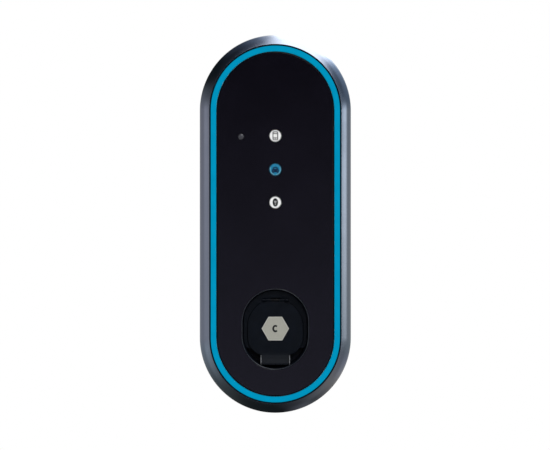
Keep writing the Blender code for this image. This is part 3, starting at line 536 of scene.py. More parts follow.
def plate(loops, depths, edge=0.0, centre=(0.0, 0.0, 0.0), turn=FORWARD, edge_steps=3):
    """Gives an outline with holes a thickness and rounded edges. Local X and Y are its plane."""
    low, high = depths
    curve = bpy.data.curves.new("outline", "CURVE")
    curve.dimensions = "2D"
    curve.fill_mode = "BOTH"
    curve.extrude = ((high - low) / 2 - edge) * MM
    curve.bevel_depth = edge * MM
    curve.bevel_resolution = edge_steps
    curve.offset = -edge * MM
    for number, loop in enumerate(loops):
        spline = curve.splines.new("POLY")
        spline.points.add(len(loop) - 1)
        turning = sum(a[0] * b[1] - b[0] * a[1] for a, b in zip(loop, loop[1:] + loop[:1]))
        ordered = loop if (turning > 0) == (number == 0) else loop[::-1]
        for point, (across, up) in zip(spline.points, ordered):
            point.co = (across * MM, up * MM, 0.0, 1.0)
        spline.use_cyclic_u = True
    flat = bpy.data.objects.new("outline", curve)
    bpy.context.scene.collection.objects.link(flat)
    graph = bpy.context.evaluated_depsgraph_get()
    mesh = bpy.data.meshes.new_from_object(flat.evaluated_get(graph))
    bpy.data.objects.remove(flat)
    bpy.data.curves.remove(curve)
    bm = bmesh.new()
    bm.from_mesh(mesh)
    bpy.data.meshes.remove(mesh)
    bmesh.ops.remove_doubles(bm, verts=bm.verts, dist=1e-7)
    middle = Vector((0, 0, (low + high) / 2 * MM))
    for vert in bm.verts:
        vert.co = turn @ (vert.co + middle) + Vector(centre)
    return closed(bm)


def cut(mesh, *cutters):
    """Takes the cutters out of a mesh."""
    obj = bpy.data.objects.new("being_cut", mesh)
    bpy.context.scene.collection.objects.link(obj)
    helpers = []
    for cutter in cutters:
        helper = bpy.data.objects.new("cutter", cutter)
        bpy.context.scene.collection.objects.link(helper)
        helpers.append(helper)
        hole = obj.modifiers.new("hole", "BOOLEAN")
        hole.operation = "DIFFERENCE"
        hole.solver = "EXACT"
        hole.object = helper
    graph = bpy.context.evaluated_depsgraph_get()
    made = bpy.data.meshes.new_from_object(obj.evaluated_get(graph))
    for used in [obj, *helpers]:
        data = used.data
        bpy.data.objects.remove(used)
        bpy.data.meshes.remove(data)
    return made


def arc(cx, cy, radius, start, end, steps):
    """Points round a circle, between two angles in degrees."""
    angles = [math.radians(start + (end - start) * i / steps) for i in range(steps + 1)]
    return [(cx + radius * math.cos(a), cy + radius * math.sin(a)) for a in angles]


def circle(cx, cy, radius, steps=48):
    return arc(cx, cy, radius, 0, 360, steps)[:-1]


def stadium(radius, half, centre_y=0.0):
    upper = arc(0, centre_y + half, radius, 0, 180, ARC_STEPS)
    return upper + arc(0, centre_y - half, radius, 180, 360, ARC_STEPS)


def rounded_rectangle(half_x, half_y, corner, cx=0.0, cy=0.0, steps=8):
    inner_x, inner_y = half_x - corner, half_y - corner
    corners = ((inner_x, inner_y), (-inner_x, inner_y), (-inner_x, -inner_y), (inner_x, -inner_y))
    points = []
    for quarter, (x, y) in enumerate(corners):
        points += arc(cx + x, cy + y, corner, 90 * quarter, 90 * quarter + 90, steps)
    return points


def d_outline(radius, flat, cy):
    """A circle cut off by a flat on top."""
    start = math.degrees(math.asin(flat / radius))
    return arc(0, cy, radius, 180 - start, 360 + start, 90)


def block(xs, depths, zs, edge):
    half_x, half_z = (xs[1] - xs[0]) / 2, (zs[1] - zs[0]) / 2
    outline = rounded_rectangle(half_x, half_z, edge, sum(xs) / 2, sum(zs) / 2, 4)
    return plate([outline], depths, edge)


def turned(profile, centre, turn=FORWARD, ring=True, steps=SMALL_STEPS):
    return sweep(profile, centre, turn, 0.0, ring, steps)


# --- lit front ------------------------------------------------------------------------------


def front_bezel():
    """Frame with a straight side, a convex front and a thin inner lip."""
    steps = 28
    reach_r = OUTER_R - BEZEL_CENTRE_R
    reach_d = (FRONT_D - SHOULDER_D) / math.sin(math.radians(BEZEL_LAST_ANGLE))
    profile = [(OUTER_R - 0.25, SEAT_D), (OUTER_R - 0.07, SEAT_D + 0.07), (OUTER_R, SEAT_D + 0.3)]
    for step in range(steps + 1):
        angle = math.radians(BEZEL_LAST_ANGLE * step / steps)
        r = BEZEL_CENTRE_R + reach_r * math.cos(angle)
        profile.append((r, SHOULDER_D + reach_d * math.sin(angle)))
    lip_r, wall_r = BEZEL_IN_R + 2.6, OUTER_R - 2.8
    back = [(BEZEL_IN_R, FRONT_D - 0.02), (BEZEL_IN_R, BEZEL_FOOT_D, 0.3), (lip_r, BEZEL_FOOT_D)]
    back += [(lip_r, 114.6, 1.5), (85.0, 111.0, 2.0), (wall_r, SHOULDER_D, 1.0)]
    back = rounded([profile[-1], *back, (wall_r, SEAT_D, 0.3), profile[0]], ring=False)
    piece("bezel", capsule(profile + back[1:-1]), "bezel_metal", replaces=["front_bezel"])


def light_ring():
    """Milky diffuser with a slightly domed face."""
    face = [(RING_OUT_R, RING_TOP_D - 0.6, 0.5), (RING_OUT_R - 1.4, RING_TOP_D - 0.1, 1.2)]
    face += [(73.5, RING_TOP_D, 3.0), (RING_IN_R + 1.4, RING_TOP_D - 0.1, 1.2)]
    face += [(RING_IN_R, RING_TOP_D - 0.6, 0.5)]
    foot = [(RING_IN_R, RING_LOW_D, 0.3), (RING_OUT_R, RING_LOW_D, 0.3)]
    piece("light_diffuser", capsule(rounded(face + foot)), "light_blue", replaces=["light_ring"])


def ring_channel():
    """Black trough of the light ring, whose walls show as two thin lines; it is painted near-black
    as shade in those gaps.
    """
    top, floor, foot = CHANNEL_TOP_D, CHANNEL_FLOOR_D, CHANNEL_D
    ledge, under, flange = LEDGE_D, LEDGE_D - LEDGE_T, CHANNEL_D + CHANNEL_FLANGE_T
    (in_a, in_b), (out_a, out_b) = TROUGH_IN_RS, TROUGH_OUT_RS
    inside = [(LEDGE_R, under, 0.3), (LEDGE_R, ledge, 0.3), (in_a, ledge, 0.2)]
    inside += [(in_a, top, 0.15), (in_b, top, 0.15), (in_b, floor, 0.3), (out_a, floor, 0.3)]
    outside = [(out_a, TROUGH_OUT_TOP_D, 0.15), (out_b, TROUGH_OUT_TOP_D, 0.15)]
    outside += [(out_b, flange, 0.4), (CHANNEL_FLANGE_R, flange, 0.4)]
    outside += [(CHANNEL_FLANGE_R, foot, 0.4), (67.6, foot, 0.4), (67.6, under, 0.4)]
    trough = capsule(rounded(inside + outside))
    stands_for = {"replaces": ["light_ring_channel"], "slot": "black_plastic"}
    piece("ring_trough", trough, "channel_shade_black", **stands_for)


def front_panel():
    """Gloss panel with its edges rounded, round the recess and the lenses too."""
    loops = [stadium(PANEL_R, HALF_STRAIGHT)]
    loops.append(stadium(WELL_OUT_R + GAP, WELL_HALF, SOCKET_Z))
    loops += [circle(0, z, ICON_R + GAP, 64) for z in ICON_Z.values()]
    loops.append(circle(SENSOR_X, SENSOR_Z, SENSOR_R + GAP))
    panel = plate(loops, (PANEL_D - PANEL_T, PANEL_D), 0.2)
    piece("gloss_panel", panel, "panel_gloss", replaces=["front_panel"])


def lens(radius, x, z, crown=0.0):
    """A short plug of plastic, whose face may be slightly domed."""
    top, low = PANEL_D + 0.1, PANEL_D - PANEL_T - 1.0
    rim = [(0.6, top), (radius * 0.6, top - crown * 0.3), (radius - 0.35, top - crown)]
    rim += [(radius - 0.1, top - crown - 0.12), (radius, top - crown - 0.35)]
    return turned([*rim, (radius, low), (radius - 0.3, low)], at(x, 0, z), ring=False, steps=48)


def glyph(name, loops_list, z, ink):
    """A printed symbol: thin flat shapes on the face of a lens."""
    depths = (PANEL_D + 0.09, PANEL_D + 0.09 + INK_T)
    shapes = [plate(loops, depths, 0.0, at(0, 0, z), edge_steps=0) for loops in loops_list]
    piece(name, shapes, ink, slot="icon_blue" if z == ICON_Z["charge"] else "icon_white")


def lens_masks():
    """Thin black ring round the edge of each lens."""
    for name, z in ICON_Z.items():
        margin = [circle(0, 0, ICON_R - 0.05, 64), circle(0, 0, ICON_R - 0.75, 64)]
        glyph(f"margin_{name}", [margin], z, "ink_black")


def phone_glyph():
    outline = [rounded_rectangle(3.35, 5.3, 1.7), rounded_rectangle(2.25, 4.3, 0.8)]
    bars = [[rounded_rectangle(2.3, 0.5, 0.3, 0, z)] for z in (2.9, -2.4)]
    button = [circle(0, -3.5, 0.5, 24)]
    glyph("phone_symbol", [outline, *bars, button], ICON_Z["phone"], "ink_grey")


def charge_glyph():
    """A plain car seen from the front, inside two arcs of a ring."""
    roof = [(3.2, 0.4, 0.3), (2.3, 3.0, 0.9), (-2.3, 3.0, 0.9), (-3.2, 0.4, 0.3)]
    foot = [(-4.2, -0.6, 0.6), (-4.2, -3.4, 0.6), (4.2, -3.4, 0.6), (4.2, -0.6, 0.6)]
    window = rounded([(-1.6, 0.7, 0.3), (1.6, 0.7, 0.3), (1.2, 1.8, 0.4), (-1.2, 1.8, 0.4)])
    lamps = [circle(x, -1.6, 0.5, 24) for x in (-2.4, 2.4)]
    wheels = [[rounded_rectangle(0.8, 0.6, 0.25, x, -4.1)] for x in (-2.8, 2.8)]
    outline = rounded([*foot, *roof])
    glyph("car_symbol", [[outline, window, *lamps], *wheels], ICON_Z["charge"], "ink_blue")
    arcs = []
    for start, end in ((-205.0, -100.0), (-80.0, 30.0)):
        arcs.append([arc(0, 0, 6.5, start, end, 40) + arc(0, 0, 5.7, end, start, 40)])
    glyph("ring_symbol", arcs, ICON_Z["charge"], "ink_pale")


def radio_glyph():
    """Generic wireless mark: two arcs over a dot, cut out of a dark oval."""
    oval = [(3.2 * math.cos(a), 4.9 * math.sin(a)) for a in [math.tau * i / 64 for i in range(64)]]
    dot = circle(0, -2.2, 0.6, 24)
    waves = []
    for radius in (2.0, 3.6):
        outer = arc(0, -2.2, radius + 0.28, 62, 118, 12)
        waves.append(outer + arc(0, -2.2, radius - 0.28, 118, 62, 12))
    glyph("radio_symbol", [[oval, dot, *waves]], ICON_Z["radio"], "ink_black")


def lenses():
    for name, z in ICON_Z.items():
        finish = "icon_blue" if name == "charge" else "icon_white"
        piece(f"lens_{name}", lens(ICON_R, 0, z), finish, replaces=[f"icon_lens_{name}"])
    sensor = lens(SENSOR_R, SENSOR_X, SENSOR_Z, crown=0.3)
    piece("light_sensor", sensor, "sensor_smoke", replaces=["sensor_window"])
    lens_masks()
    phone_glyph()
    charge_glyph()
    radio_glyph()


# --- recess and lid -------------------------------------------------------------------------


def recess():
    """Tub behind the panel: a thin rim, drafted walls and a floor with the outlet's hole."""
    top, under = WELL_TOP_D, WELL_FLOOR_D - WELL_FLOOR_T
    flange_low = LEDGE_D - WELL_FLANGE_T
    inside = [(WELL_HOLE_R, WELL_FLOOR_D - 0.06), (WELL_FLOOR_R, WELL_FLOOR_D - 0.06, 1.6)]
    inside += [(WELL_RIM_R, top, 0.2), (WELL_OUT_R, top, 0.2)]
    outside = [(WELL_OUT_R, LEDGE_D, 0.2), (WELL_FLANGE_R, LEDGE_D, 0.4)]
    outside += [(WELL_FLANGE_R, flange_low, 0.4), (WELL_OUT_R, flange_low, 0.6)]
    outside += [(WELL_OUT_R, under, 1.0), (WELL_HOLE_R, under)]
    wall = capsule(rounded(inside + outside), WELL_HALF, SOCKET_Z)
    floor = stadium(WELL_FLOOR_R - 0.8, WELL_HALF, SOCKET_Z)
    hole = circle(0, SOCKET_Z, COLLAR_R + GAP, 96)
    base = plate([floor, hole], (under + 0.02, WELL_FLOOR_D), 0.2)
    stands_for = {"replaces": ["recess_well"], "slot": "black_plastic"}
    # The tub wears the lid's darker plastic, not the black plastic of its slot: painted shade that
    # deepens the recess.
    piece("recess_tub", [wall, base], "lid_plastic", **stands_for)
    lip = [(WELL_OUT_R, top + 0.05), (WELL_OUT_R, top + 1.0, 0.2)]
    lip += [(WELL_OUT_R - 0.3, top + 1.15, 0.2), (WELL_RIM_R, top + 0.5, 0.3)]
    lip += [(WELL_RIM_R, top + 0.05)]
    trim = capsule(rounded(lip), WELL_HALF, SOCKET_Z)
    # The trim's paler plastic is a painted highlight along the rim.
    piece("recess_trim", trim, "rim_highlight_plastic", **stands_for)


def lid_opening(gap, top, foot=None):
    """The lid's outline, or its opening's, from the top left round the bottom to the top right."""
    half = LID_HALF_WIDTH + gap
    centre_z = LID_TOP_Z - LID_HALF_WIDTH
    corner = LID_CORNER_R + gap
    corner_x, corner_z = half - corner, LID_BOTTOM_Z - gap + corner
    tongue = KNUCKLE_X[1] if gap == 0 else LUG_X[1] + LID_GAP
    shoulder_z = HINGE_Z - KNUCKLE_R - LID_GAP if gap == 0 else centre_z + half * SURROUND_SHOULDER
    start = math.degrees(math.asin((shoulder_z - centre_z) / half))
    points = [(-tongue, top), (-tongue, shoulder_z)]
    points += arc(0, centre_z, half, 180 - start, 180, 40)
    points += arc(-corner_x, corner_z, corner, 180, 270, 30)
    points += arc(corner_x, corner_z, corner, 270, 360, 30)
    points += arc(0, centre_z, half, 0, start, 40)
    points += [(tongue, shoulder_z), (tongue, top)]
    if foot is None:
        return points
    return [p for p in points if p[1] > foot]


def barrel(xs):
    """A length of the hinge's barrel, with the pin's bore."""
    profile = [(KNUCKLE_R, xs[1], 0.3), (KNUCKLE_R, xs[0], 0.3)]
    profile += [(PIN_BORE_R, xs[0], 0.1), (PIN_BORE_R, xs[1], 0.1)]
    return turned(rounded(profile), at(0, HINGE_D, HINGE_Z), SIDEWAYS)


def lid_surround():
    """Fixed horseshoe round the lid, open below for fingers, with the hinge's two lugs."""
    low, high = SURROUND_DEPTHS
    outer = [p for p in stadium(SURROUND_R, WELL_HALF, SOCKET_Z) if p[1] > SURROUND_FOOT_Z]
    # The outline starts at the right foot, runs over the top, and comes back along the opening.
    start = next(i for i, p in enumerate(outer) if p[0] > 0 > outer[i - 1][0])
    outer = outer[start:] + outer[:start]
    inner = lid_opening(LID_GAP, HINGE_Z + 2.8, SURROUND_FOOT_Z)
    half_inner = len(inner) // 2
    left, right = inner[:half_inner], inner[half_inner:]
    loop = outer + left[::-1] + right[::-1]
    parts = [plate([loop], (low, high), 0.25)]
    for way in (-1, 1):
        xs = sorted((way * LUG_X[0], way * LUG_X[1]))
        root_zs = (HINGE_Z + 1.9, HINGE_Z + 5.6)
        parts += [barrel(xs), block(xs, (HINGE_D - 2.2, high - 0.1), root_zs, 0.25)]
    piece("lid_surround", parts, "lid_plastic", replaces=["lid_frame"])


def tab_outline(face):
    """A web or rib from the side, from the top of its face round to the root of its back."""
    return rounded([(107.5, face[0][1]), *face, *TAB_BACK, (107.5, -154.0, 2.0)])


def side_plate(outline, xs, edge):
    # The side view's local Z runs to the left, so its ends change sign.
    return plate([outline], (-xs[1], -xs[0]), edge, turn=SIDE_VIEW)


def lid_cover():
    """Hinged lid: a rounded plate, a ribbed finger tab below, and two knuckles above."""
    parts = [plate([lid_opening(0.0, HINGE_Z - 1.75)], LID_DEPTHS, 0.5, edge_steps=5)]
    half = TAB_HALF_WIDTH
    parts.append(side_plate(tab_outline(WEB_FACE), (-half + 0.4, half - 0.4), 0.2))
    ribs = []
    for way in (-1, 1):
        xs = sorted((way * (half - TAB_RIB), way * half))
        ribs.append(side_plate(tab_outline(RIB_FACE), xs, 0.35))
        parts.append(barrel(sorted((way * KNUCKLE_X[0], way * KNUCKLE_X[1]))))
    piece("lid_cover", parts, "lid_plastic", "lid", ["socket_lid"])
    # The ribs' pale grey finish is a painted highlight.
    piece("tab_ribs", ribs, "rib_highlight_plastic", "lid", slot="lid_plastic")


def hexagon(radius):
    return circle(0, 0, radius, 6)


def letter_c(half_x, half_y, stroke, gap_angle):
    """The standard letter of the connector type, as one curved stroke."""
    steps = 48
    outer, inner = [], []
    for step in range(steps + 1):
        angle = math.radians(gap_angle + (360 - 2 * gap_angle) * step / steps)
        outer.append((half_x * math.cos(angle), half_y * math.sin(angle)))
        inner.append(((half_x - stroke) * math.cos(angle), (half_y - stroke) * math.sin(angle)))
    return outer + inner[::-1]


def type_label():
    """Six-sided film with a printed border and letter."""
    low, high = LABEL_DEPTHS
    centre = at(0, 0, LABEL_Z)
    film = plate([hexagon(LABEL_R)], (low, high - 0.1), 0.1, centre)
    piece("type_label_film", film, "label_grey", "lid", ["type_label"])
    border = [hexagon(LABEL_R - 0.1), hexagon(LABEL_R - 0.75)]
    border = plate(border, (high - 0.2, high - 0.04), 0.02, centre)
    piece("type_label_border", border, "label_edge", "lid", slot="label_grey")
    letter = plate([letter_c(3.6, 4.4, 2.2, 44.0)], (high - 0.2, high - 0.03), 0.02, centre)
    piece("type_label_letter", letter, "ink_black", "lid", slot="label_grey")


def hinge_parts():
    ends = (-LUG_X[1], LUG_X[1])
    profile = [(0.2, ends[1]), (PIN_R, ends[1], 0.3), (PIN_R, ends[0], 0.3), (0.2, ends[0])]
    rod = turned(rounded(profile, ring=False), at(0, HINGE_D, HINGE_Z), SIDEWAYS, ring=False)
    # The pin's near-black steel is painted shade.
    piece("hinge_rod", rod, "steel_black", replaces=["hinge_pin"])


def lid_seal():
    """Soft lip on the back of the lid, which meets the outlet's collar."""
    low, high = COLLAR_D + GAP, LID_DEPTHS[0] - GAP
    profile = [(30.4, high, 0.3), (30.3, low + 0.9, 0.5), (29.6, low, 0.35)]
    profile += [(28.9, low + 0.9, 0.5), (28.4, high, 0.3)]
    ring = sweep(rounded(profile), at(0, 0, SOCKET_Z), steps=64)
    piece("lid_gasket", ring, "rubber_black", "lid", ["lid_seal"])


# --- outlet and lock ------------------------------------------------------------------------


def outlet():
    """Type 2 outlet: collar, D-shaped groove, and a core with seven bores."""
    holes = [circle(x, SOCKET_Z + dz, r + GAP, 40) for x, dz, r, _ in CONTACTS.values()]
    groove = d_outline(GROOVE_R, GROOVE_FLAT, SOCKET_Z)
    core = d_outline(CORE_R, CORE_FLAT, SOCKET_Z)
    collar = [circle(0, SOCKET_Z, COLLAR_R, 144), groove]
    collar = plate(collar, (GROOVE_BOTTOM_D - 2, COLLAR_D), 0.6)
    high_z, low_z, hole_r = -90.0, -108.0, LOCK_R + GAP
    pin_hole = [(0.5, high_z), (hole_r, high_z), (hole_r, low_z), (0.5, low_z)]
    collar = cut(collar, turned(pin_hole, at(0, LOCK_D, 0), UPWARD, ring=False))
    back = [circle(0, SOCKET_Z, COLLAR_R - 0.05, 144), *holes]
    back = plate(back, (OUTLET_BACK_D, GROOVE_BOTTOM_D), 0.5)
    face = plate([core, *holes], (GROOVE_BOTTOM_D - 1, CORE_D), 0.5)
    flange = [rounded_rectangle(36.0, 40.0, 7.0, 0, SOCKET_Z)]
    flange += [circle(0, SOCKET_Z, COLLAR_R - 0.8, 96)]
    flange += [circle(x, z, 2.0, 24) for x, z in OUTLET_SCREW_XZ]
    flange = plate(flange, FLANGE_DEPTHS, 0.4)
    piece("outlet", [collar, back, face, flange], "black_plastic", replaces=["socket_body"])


def contact_sleeves():
    """Silver-plated sleeves with flared mouths, a narrower waist and a solid tail."""
    front, back = CORE_D - 3.0, OUTLET_BACK_D - 4.0
    for name, (x, dz, radius, bore) in CONTACTS.items():
        end = front - CONTACT_BORE_LENGTH
        mouth = [(0.3, end), (bore, end, 0.3), (bore, front - 1.0, 0.5)]
        rim = [(bore + 0.6, front, 0.2), (radius, front, 0.35)]
        step_d = GROOVE_BOTTOM_D - 6.0
        waist = [(radius, step_d, 0.2), (radius - 0.4, step_d - 0.5, 0.2)]
        tail = [(radius - 0.4, back + 3.0, 0.2), (radius, back + 2.5, 0.2), (radius, back, 0.4)]
        profile = rounded([*mouth, *rim, *waist, *tail, (0.3, back)], ring=False)
        sleeve = turned(profile, at(x, 0, SOCKET_Z + dz), ring=False)
        piece(f"{name}_sleeve", sleeve, "contact_silver", replaces=[name])


def lock_bolt():
    profile = [(0.3, LOCK_TOP_Z), (LOCK_R, LOCK_TOP_Z, 0.4)]
    profile += [(LOCK_R, LOCK_TIP_Z, 0.9), (0.3, LOCK_TIP_Z)]
    bolt = turned(rounded(profile, ring=False), at(0, LOCK_D, 0), UPWARD, ring=False)
    piece("lock_bolt", bolt, "steel_zinc", "lock_pin", ["lock_pin"])


# --- casing ---------------------------------------------------------------------------------


def rear_shell():
    """Tapered tub with hook slots, a cable hole, and posts for the carrier and the board.

    The carrier's posts are open down to the back wall. The CAD's bores stop at depth 60.
    """
    back, inside = BACK_D, BACK_D + WALL_T
    outer = [(60.0, back), (79.5, back, 3.0), (83.5, 4.6, 4.0), (86.0, 8.5, 6.0)]
    outer += [(88.6, 34.0, 20.0), (89.4, SEAM_D, 0.5)]
    inner = [(86.4, SEAM_D, 0.4), (85.6, 34.0, 20.0), (83.2, 10.0, 5.0), (79.5, inside, 3.0)]
    profile = rounded([*outer, *inner, (60.0, inside)], ring=False, steps=6)
    shell = capsule(profile, ring=False)
    cutters = []
    for x in (-HOOK_X, HOOK_X):
        cutters.append(block((x - 9, x + 9), (0, 8), HOOK_SLOT_ZS, 1.0))
    hole_r = GROMMET_R + GAP
    hole = [(0.5, 10), (hole_r, 10), (hole_r, 0), (0.5, 0)]
    cutters.append(turned(hole, at(0, 0, GROMMET_Z), ring=False, steps=48))
    parts = [cut(shell, *cutters)]
    foot = BACK_D + 1.0
    top, board_top = POST_TOP_D, BOARD_POST_TOP_D
    for x, z in POST_XZ:
        post = [(4.5, foot), (4.5, top, 0.4), (1.8, top, 0.3), (1.8, foot)]
        parts.append(turned(rounded(post), at(x, 0, z)))
    for x, z in BOARD_POST_XZ:
        post = [(0.5, foot), (4.0, foot), (4.0, board_top, 0.4), (0.5, board_top)]
        parts.append(turned(rounded(post, ring=False), at(x, 0, z), ring=False))
    piece("rear_shell", parts, "black_plastic", replaces=["rear_housing"])


def casing_seal():
    """Gasket in the seam between the shell and the bezel."""
    low, high = SEAM_D + GAP, SEAM_D + 1.5
    profile = [(89.0, high, 0.4), (89.0, low, 0.4), (86.8, low, 0.4), (86.8, high, 0.4)]
    piece("casing_seal", capsule(rounded(profile)), "rubber_black", replaces=["housing_gasket"])


def cable_bush():
    """Rubber grommet that grips the back wall, with a soft inner lip."""
    back, front = BACK_D - GAP, BACK_D + WALL_T + GAP
    outer = [(15, front + 2.0, 0.6), (15, front, 0.5), (GROMMET_R, front), (GROMMET_R, back)]
    outer += [(15, back, 0.5), (15, 1.0, 0.6)]
    inner = [(7.0, 1.0, 0.5), (6.0, 3.0, 1.0), (6.0, front + 6.0, 0.5), (8.0, front + 6.0, 0.5)]
    profile = rounded([*outer, *inner, (9.5, front + 2.0, 1.5)])
    bush = turned(profile, at(0, 0, GROMMET_Z), steps=48)
    piece("cable_bush", bush, "rubber_black", replaces=["cable_grommet"])


def mounting_plate():
    """Steel wall plate with screw holes and two hooks bent forwards."""
    loops = [rounded_rectangle(56.0, 140.0, 12.0)]
    for x in (-WALL_SCREW_X, WALL_SCREW_X):
        loops += [circle(x, z, WALL_SCREW_R, 40) for z in (-WALL_SCREW_Z, WALL_SCREW_Z)]
    parts = [plate(loops, (0.0, BRACKET_T), 0.35)]
    lip_d = BACK_D + WALL_T + GAP
    for x in (-HOOK_X, HOOK_X):
        low, high = HOOK_Z, HOOK_Z + 11.0
        outline = [(1.0, low, 0.3), (lip_d + 2.5, low, 1.6), (lip_d + 2.5, high, 0.6)]
        outline += [(lip_d, high, 0.6), (lip_d, low + HOOK_T, 0.6), (1.0, low + HOOK_T, 0.3)]
        parts.append(side_plate(rounded(outline), (x - 8.0, x + 8.0), 0.3))
    piece("mounting_plate", parts, "steel_zinc", replaces=["wall_bracket"])


# --- studio ---------------------------------------------------------------------------------

# Brightness of the studio walls as a polished edge sees them, by angle round the object:
# 0 is to the right and 90 overhead. A long overhead box stands right of the middle.
SIDE_WALLS = [
    (0, 0.43), (12, 0.21), (28, 0.33), (38, 0.55), (43, 1.1), (51, 3.3), (86, 3.3), (95, 0.90),
    (103, 0.28), (116, 0.080), (136, 0.016), (154, 0.018), (172, 0.31), (182, 0.41), (200, 0.33),
    (220, 0.13), (250, 0.03), (276, 0.02), (292, 0.18), (301, 0.11), (328, 0.45), (345, 0.32),
    (360, 0.43),
]
# The same for walls further forward, with a bright strip level with the object on its right.
NEAR_WALLS = [
    (0, 1.7), (3, 1.7), (9, 0.18), (24, 0.15), (36, 0.24), (42, 0.45), (50, 2.2), (58, 3.2),
    (82, 3.2), (91, 1.9), (99, 0.38), (108, 0.12), (122, 0.03), (152, 0.012), (168, 0.20),
    (176, 0.54), (178, 0.66), (180, 0.58), (183, 0.40), (192, 0.56), (206, 0.38), (222, 0.13),
    (246, 0.032), (270, 0.02), (290, 0.09), (318, 0.34), (345, 0.25), (353, 0.32), (357, 0.55),
    (359, 1.3), (360, 1.7),
]
NEAR_SPAN = (0.15, -0.40)
# Colour of both by the same angle: cool on the upper right and upper left, warm on the lower
# right.
TINTS = [
    (0, (0.97, 1.0, 0.97)), (12, (0.76, 1.0, 1.28)), (38, (0.78, 1.0, 1.28)),
    (52, (1.0, 1.0, 1.0)), (92, (0.97, 1.0, 1.04)), (102, (0.85, 1.0, 1.25)),
    (112, (0.78, 1.0, 1.36)), (126, (0.78, 1.0, 1.34)), (145, (0.68, 1.0, 1.15)),
    (162, (0.92, 1.0, 1.04)), (178, (1.03, 1.0, 1.08)), (192, (0.88, 1.0, 1.06)),
    (218, (0.86, 1.0, 1.0)), (238, (0.88, 1.0, 0.88)), (262, (0.80, 1.0, 1.02)),
    (285, (1.0, 1.0, 1.06)), (302, (0.98, 1.0, 0.98)), (320, (1.08, 1.0, 0.88)),
    (338, (0.98, 1.0, 1.10)), (350, (0.86, 1.0, 1.02)), (360, (0.97, 1.0, 0.97)),
]
# The wall ahead of the object, which the gloss panel mirrors, by height: it goes from dim to
# grey downwards, and is dark again below what the panel sees.
FRONT_WALL = [
    (-0.11, (0.02, 0.02, 0.03)), (-0.078, (0.26, 0.26, 0.36)), (0.075, (0.022, 0.019, 0.034)),
]
FRONT_WALL_SPAN = 0.15
FRONT_WALL_EDGE = (-0.995, -0.95)
BACK_WALL = 0.25
BACK_WALL_EDGE = (0.90, 0.99)
# Soft boxes: name, place, size, power and colour.
LAMPS = [
    ("key", (900, -1500, 900), (500, 500), 12.5, (1.0, 1.0, 1.0)),
    ("fill", (-1300, -1200, 100), (500, 900), 6, (0.93, 0.96, 1.0)),
    ("back_right", (900, 1100, 700), (700, 700), 16, (1.0, 1.0, 1.0)),
    ("back_left", (-1000, 1000, 300), (700, 700), 10, (1.0, 1.0, 1.0)),
]
LAMP_AIM = (0.0, -110.0, 0.0)
FLOOR_Z = -450.0
FLOOR_R = 1800.0
FLOOR_CENTRE_DEPTH = -100.0
CAMERA_DISTANCE = 3000.0
VIEW_WIDTH = 655.5
CAMERA_X, CAMERA_Z = -0.4, -1.2
SENSOR_WIDTH = 36.0


def blend_by(tree, value, span, first, second):
    """Turns smoothly from the first colour to the second over a span of the value."""
    inputs = {"Value": value, "From Min": span[0], "From Max": span[1]}
    share = node(tree, "MapRange", inputs, interpolation_type="SMOOTHSTEP").outputs["Result"]
    made = node(tree, "Mix", data_type="RGBA")
    tree.links.new(share, made.inputs["Factor"])
    for socket, end in zip([s for s in made.inputs if s.type == "RGBA"], (first, second)):
        if isinstance(end, bpy.types.NodeSocket):
            tree.links.new(end, socket)
        else:
            socket.default_value = end
    return next(s for s in made.outputs if s.type == "RGBA")


def studio_world():
    """White backdrop for the camera; reflections see walls of different brightness."""
    world = bpy.data.worlds.new("studio")
    bpy.context.scene.world = world
    world.use_nodes = True
    tree = world.node_tree
    tree.nodes.clear()
    way = node(tree, "TexCoord").outputs["Generated"]
    split = node(tree, "SeparateXYZ", {"Vector": way})
    turn = node(tree, "Math", {0: split.outputs["Z"], 1: split.outputs["X"]}, operation="ARCTAN2")
    share = node(tree, "Math", {0: turn.outputs[0], 1: 1 / math.tau}, operation="MULTIPLY")
    around = node(tree, "Math", {0: share.outputs[0], 1: 1.0}, operation="FRACT")
    top = max(level for _, level in SIDE_WALLS)
    side, near = (
        ramp(tree, around.outputs[0], [(angle / 360, level / top) for angle, level in walls])
        for walls in (SIDE_WALLS, NEAR_WALLS)
    )
    tint = ramp(tree, around.outputs[0], [(angle / 360, colour) for angle, colour in TINTS])
    walls = blend_by(tree, split.outputs["Y"], NEAR_SPAN, side, near)
    walls = node(tree, "VectorMath", {0: walls, 1: tint}, operation="MULTIPLY").outputs["Vector"]
    span = FRONT_WALL_SPAN
    height = {"Value": split.outputs["Z"], "From Min": -span, "From Max": span}
    height = node(tree, "MapRange", height).outputs["Result"]
    stops = [(0.5 + z / (2 * span), tuple(c / top for c in wall)) for z, wall in FRONT_WALL]
    ahead = ramp(tree, height, stops)
    shaded = blend_by(tree, split.outputs["Y"], FRONT_WALL_EDGE, ahead, walls)
    behind = (BACK_WALL / top,) * 3 + (1.0,)
    shaded = blend_by(tree, split.outputs["Y"], BACK_WALL_EDGE, shaded, behind)
    studio = node(tree, "Background", {"Color": shaded, "Strength": top})
    backdrop = node(tree, "Background", {"Color": (1.0, 1.0, 1.0, 1.0), "Strength": 1.0})
    seen = node(tree, "LightPath").outputs["Is Camera Ray"]
    both = node(tree, "MixShader", {"Fac": seen, 1: studio.outputs[0], 2: backdrop.outputs[0]})
    out = node(tree, "OutputWorld", {"Surface": both.outputs[0]})
    out.is_active_output = True


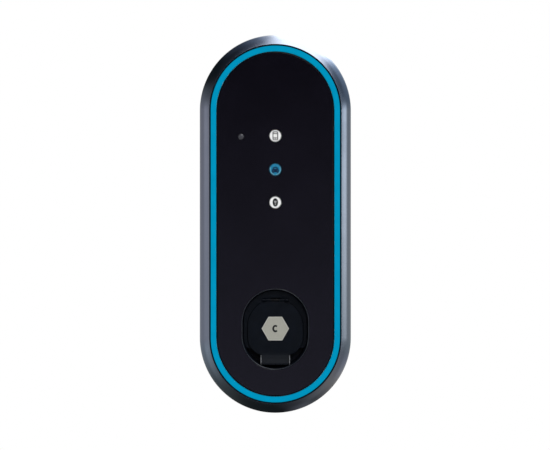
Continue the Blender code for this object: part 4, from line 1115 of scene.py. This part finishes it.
def area_light(name, place, size, power, colour):
    """A soft box at (x, y, z) that points at the object."""
    data = bpy.data.lights.new(name, "AREA")
    data.shape = "RECTANGLE"
    data.size, data.size_y = size[0] * MM, size[1] * MM
    data.energy = power
    data.color = colour
    light = bpy.data.objects.new(name, data)
    light.location = Vector(place) * MM
    way = Vector(LAMP_AIM) - Vector(place)
    light.rotation_euler = way.to_track_quat("-Z", "Y").to_euler()
    # Gloss mirrors the studio walls only, so the lamps leave no hard streaks.
    light.visible_glossy = False
    bpy.context.scene.collection.objects.link(light)


def studio():
    studio_world()
    for lamp in LAMPS:
        area_light(*lamp)

    disc = [(1.0, 0.0), (FLOOR_R, 0.0), (FLOOR_R, -4.0), (1.0, -4.0)]
    centre = at(0, FLOOR_CENTRE_DEPTH, FLOOR_Z)
    floor = sweep(disc, centre, UPWARD, ring=False, steps=48)
    pale = Finish("floor_pale", (0.86, 0.86, 0.86), 0.8)
    pale.mottle(300.0, 0.01)
    floor.materials.append(pale.material)
    stage = bpy.data.objects.new("studio_floor", floor)
    bpy.context.scene.collection.objects.link(stage)
    # The metal frame mirrors the studio walls, not the floor, so that its foot stays dark.
    stage.visible_glossy = False

    camera = bpy.data.objects.new("camera", bpy.data.cameras.new("camera"))
    camera.data.sensor_width = SENSOR_WIDTH
    camera.data.lens = SENSOR_WIDTH * CAMERA_DISTANCE / VIEW_WIDTH
    camera.data.clip_end = 20.0
    camera.location = at(CAMERA_X, SHOULDER_D + CAMERA_DISTANCE, CAMERA_Z)
    camera.rotation_euler = (math.pi / 2, 0.0, 0.0)
    bpy.context.scene.collection.objects.link(camera)
    bpy.context.scene.camera = camera
    bpy.context.scene.view_settings.view_transform = "Standard"


# --- everything -----------------------------------------------------------------------------


def dress_cad_nodes():
    """Gives each CAD node that stays in view the finish of its material slot."""
    slots = {part["node"]: part["material_slot"] for part in frame["record"]["subparts"]}
    for name, obj in frame["nodes"].items():
        if obj.hide_render:
            continue
        obj.data.materials.clear()
        obj.data.materials.append(FINISHES[slots[name]])


def main():
    make_finishes()
    front_bezel()
    light_ring()
    ring_channel()
    front_panel()
    lenses()
    recess()
    lid_surround()
    lid_cover()
    type_label()
    hinge_parts()
    lid_seal()
    outlet()
    contact_sleeves()
    lock_bolt()
    rear_shell()
    casing_seal()
    cable_bush()
    mounting_plate()
    dress_cad_nodes()
    studio()


main()
